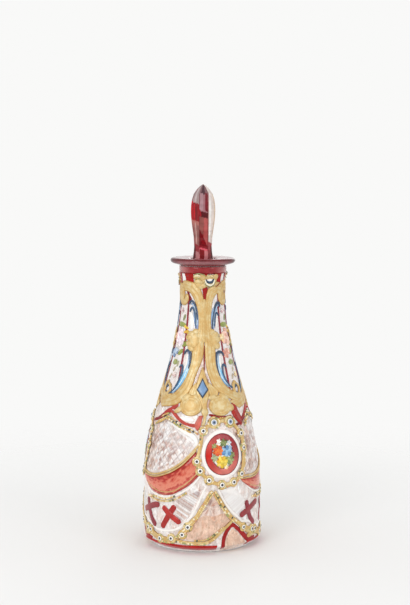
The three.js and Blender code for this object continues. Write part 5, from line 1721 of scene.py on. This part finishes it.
accentLines = {
    "upperLeft": [
        (
            [(-35.4, 175.8), (-32, 178), (-27, 178.3), (-20, 175.8), (-14.8, 171), (-12.2, 165)],
            [1.0, 1.6, 1.5, 1.3, 1.3, 0.7],
        ),
        (
            [(-32, 170.6), (-29.6, 173), (-25, 173.6), (-19.8, 171), (-16.4, 166), (-14.8, 159)],
            [1.0, 1.6, 1.6, 1.5, 1.2, 0.6],
        ),
    ],
    "upperRight": [
        (
            [(47.4, 173.6), (46.2, 176.6), (41, 177.2), (34, 174.6), (28, 169), (24.4, 163), (22.8, 157)],
            [1.2, 1.9, 1.7, 1.4, 1.3, 1.1, 0.6],
        ),
        (
            [(41.4, 167.6), (38.6, 169.6), (34.6, 169.8), (30.8, 166), (28.4, 160)],
            [0.9, 1.6, 1.6, 1.3, 0.6],
        ),
    ],
    "lowerLeft": [
        (
            [(-36, 140.2), (-33, 142.6), (-28, 143.5), (-23.6, 141.2), (-22, 136), (-24.4, 130.4)],
            [1.1, 1.7, 1.9, 1.9, 1.6, 0.7],
        ),
        (
            [
                (-42.4, 130.6), (-39, 132.8), (-35.6, 131), (-36, 126), (-40, 120.6), (-44.6, 115.8),
                (-51, 112.4), (-58, 111.6), (-64, 113.4),
            ],
            [1.0, 1.6, 1.7, 1.5, 1.4, 1.5, 1.4, 1.3, 0.8],
        ),
    ],
    "lowerRight": [
        (
            [(43.6, 139), (41, 141.2), (35, 142.2), (29, 141.2), (26, 137), (26.2, 131), (29, 125.4)],
            [1.1, 1.8, 1.9, 1.9, 1.8, 1.5, 0.7],
        ),
        (
            [
                (45, 130.6), (41.2, 133), (36.8, 131.8), (36.2, 127), (39, 122.4), (43, 119), (48, 117),
                (54, 116), (59.6, 117), (61.6, 119),
            ],
            [1.0, 1.6, 1.6, 1.4, 1.3, 1.3, 1.4, 1.4, 1.2, 0.7],
        ),
    ],
}
accentTones = {
    "upper": ("#7C96B8", "#8FB0D2", "#86A9D0", "#8096BE", "#9A93B0"),
    "lower": ("#6C7896", "#9AAEC8", "#A8D2EA", "#78BCE2", "#5F9FCB", "#7A98B2", "#A9B8C0"),
    "crown": "#CFE2F0",
    "lines": ("#2E435E", "#34506E"),
}
hook = {
    "lift": 0.12,
    "thickness": 0.5,
    "lineLift": 0.3,
    "crownShare": 0.24,
    "crownThickness": 0.3,
    "patchThickness": 0.25,
}
whites = [
    ([(-30.6, 170), (-26.4, 165), (-25.6, 158)], [2.0, 3.4, 2.6]),
    ([(38, 172.6), (36, 165), (35.4, 159)], [1.4, 1.8, 1.2]),
    ([(-29, 140.4), (-28, 135), (-32, 129)], [1.6, 2.6, 1.8]),
    ([(34, 139.4), (32.4, 133), (34.6, 127)], [1.8, 3.0, 1.8]),
    ([(-30, 95.5), (-20, 95.6), (-10, 95)], [2.0, 3.6, 2.0]),
]
diamond = {
    "centre": (0.5, 117.5),
    "corners": [(4.0, -1.3), (0, 7.0), (-4.0, -1.3), (0, -7.2)],
    "face": 0.76,
    "clear": 0.15,
    "rise": (0.3, 0.1),
    "faceLift": 0.22,
    "faceRise": (0.3, 0.25),
}


def accentPieces(k):
    base = ruby["lift"] + hook["lift"]
    top = base + hook["lineLift"]
    for place, (path, widths) in accents.items():
        path, crown = shifted(path, k), [width * hook["crownShare"] for width in widths[1:-1]]
        pairs = [(stroke(path, widths, base, hook["thickness"]), accentTones[place[:5]]),
                 (stroke(path[1:-1], crown, top, hook["crownThickness"]), accentTones["crown"])]
        for (line, wide), tone in zip(accentLines[place], accentTones["lines"]):
            pairs.append((stroke(shifted(line, k), wide, top, hook["thickness"]), tone))
        addPainted(f"blueHook{place[0].upper()}{place[1:]}{k + 1}", pairs, paintFinish)
    patches = [stroke(shifted(path, k), widths, ruby["lift"], hook["patchThickness"], "flat")
               for path, widths in whites]
    addPiece(f"whiteAccents{k + 1}", patches, whiteFinish, node="")
    corners = np.array(diamond["corners"])
    share = np.linspace(0, 1, 8)[:-1, None]
    outline = np.concatenate([a + (b - a) * share for a, b in zip(corners, np.roll(corners, -1, axis=0))])
    above = gilt["lift"] + gilt["thickness"] + diamond["clear"]
    spot = shifted([diamond["centre"]], k)[0]
    lozenge = dome(*spot, outline, above, *diamond["rise"], rings=5)
    above += diamond["faceLift"]
    face = dome(*spot, outline * diamond["face"], above, *diamond["faceRise"], rings=5)
    mesh = makeMesh(f"blueDiamond{k + 1}", [lozenge, face], darkFinish)
    mesh.materials.append(blueFinish)
    mesh.polygons.foreach_set("material_index", [0] * len(lozenge[1]) + [1] * len(face[1]))
    makePiece(f"blueDiamond{k + 1}", mesh)


# White lines along the lens, the diamond panel's top and the swag's foot: painted highlights standing for the
# bright reflection of the cut bevels there
outlines = {
    "lens": [
        (4.5, 50), (0, 42.5), (-4, 35.6), (-10, 27.4), (-15, 22.6), (-22, 18.4), (-30, 15.9), (-40, 14.7),
        (-50, 15), (-60, 17.6), (-68, 20.4), (-77, 21.4), (-83, 25.4), (-89, 29.2), (-95, 34.4),
        (-100, 40.6), (-104, 47),
    ],
    "panelTop": [(-44, 92.4), (-36, 91.4), (-28, 89.2), (-20, 87.2), (-12, 85), (-7, 82), (-4.4, 76.6)],
    "swagFoot": [
        (0, 58), (-8, 50.8), (-18, 44.6), (-30, 40.4), (-40, 39.2), (-50, 39.6), (-60, 41.8), (-70, 46.4),
    ],
    "widths": {
        "lens": ([1.2, 1.8, 1.7, 1.7, 1.8, 1.2], 0.35),
        "panelTop": ([0.8, 1.4, 1.8, 2.4, 3.2, 3.0, 1.6], 0.3),
        "swagFoot": ([1.0, 1.4, 1.4, 1.0], 0.35),
    },
}


# Painted highlights on the cut edges, laid as white strips
def bevelHighlights(k):
    parts = [stroke(shifted(outlines[key], k), widths, ruby["lift"], thickness)
             for key, (widths, thickness) in outlines["widths"].items()]
    addPiece(f"whiteOutlines{k + 1}", parts, whiteFinish, node="")


# Flower spray on the neck: leaves with their tone, blooms, and the blooms' tones in each repeat
spray = {
    "leaves": [
        (-60, 161, 4.4, 1.9, 0, "#8F9A4C"), (-51, 160.8, 3.0, 1.6, -8, "#97A052"),
        (-51, 166, 1.2, 2.6, -20, "#7E8656"), (-42, 159.4, 2.8, 1.3, -25, "#E2B93E"),
        (-36.4, 156, 2.6, 1.4, -30, "#E0B23C"), (-42, 155.8, 1.8, 1.1, 10, "#D9A840"),
        (-39.6, 147.4, 2.8, 2.2, 55, "#8A9440"), (-48, 141.4, 3.2, 1.6, 40, "#939C4A"),
        (-58, 134, 3.0, 2.0, 10, "#98A060"), (-56, 129, 2.0, 0.9, 70, "#B6A98E"),
        (-49, 133, 2.4, 0.9, 75, "#A9A884"), (-62, 124, 2.2, 1.0, 60, "#B2A38A"),
    ],
    "blooms": [
        (-63, 151.6, 4.6, 6), (-53, 149.6, 4.2, 6), (-58, 155.4, 3.4, 5), (-73, 152, 3.2, 5),
        (-68, 140.4, 3.6, 5), (-60, 141.6, 2.4, 5), (-52, 125, 2.2, 5), (-62, 171, 2.0, 5),
    ],
    "tones": [
        [
            ("#E6CDD8", "#F4E8EC"), ("#E9D6DE", "#F1E2E8"), ("#DDBCCB", "#EFDDE4"), ("#E29A84", "#F0BDA8"),
            ("#6E86AC", "#A9BCD2"), ("#8FA4C4", "#C0CEDE"), ("#D7B6B4", "#EBD9D2"), ("#C9A0A4", "#E8D6D2"),
        ],
        [
            ("#E2A48E", "#F0C4B0"), ("#E6B29E", "#F4D2C2"), ("#DFA892", "#F0C8B8"), ("#E6C48A", "#F0DCB4"),
            ("#D08A78", "#E4AA98"), ("#DFA08C", "#EEC4B4"), ("#DCC294", "#EBDCB8"), ("#C9A0A4", "#E8D6D2"),
        ],
        [
            ("#D9C6E0", "#EDE2F0"), ("#E6D0DE", "#F3E6EC"), ("#CDB9DA", "#E6DCEC"), ("#E2B084", "#F0CDA8"),
            ("#7E96AC", "#B3C6D2"), ("#9FB0C4", "#C8D4DE"), ("#D7B6B4", "#EBD9D2"), ("#C9A0A4", "#E8D6D2"),
        ],
    ],
    "leafRise": (0.2, 0.3),
    "overlap": 0.05,
    "turned": 20,
}


def sprayPiece(k):
    lift, pairs = ruby["lift"], []
    for angle, height, halfWidth, halfHeight, turned, colour in spray["leaves"]:
        shape = oval(halfWidth, halfHeight, count=16, turned=turned)
        pairs.append((dome(angle + k * turn, height, shape, lift, *spray["leafRise"], rings=3), colour))
    for i, ((angle, *size), tones) in enumerate(zip(spray["blooms"], spray["tones"][k])):
        base = lift + spray["overlap"] * i
        pairs += bloom(angle + k * turn, *size, *tones, base, spray["turned"] * i)
    addPainted(f"neckSpray{k + 1}", pairs, paintFinish)


for k in range(repeats):
    accentPieces(k)
    bevelHighlights(k)
    sprayPiece(k)
print("enamel")
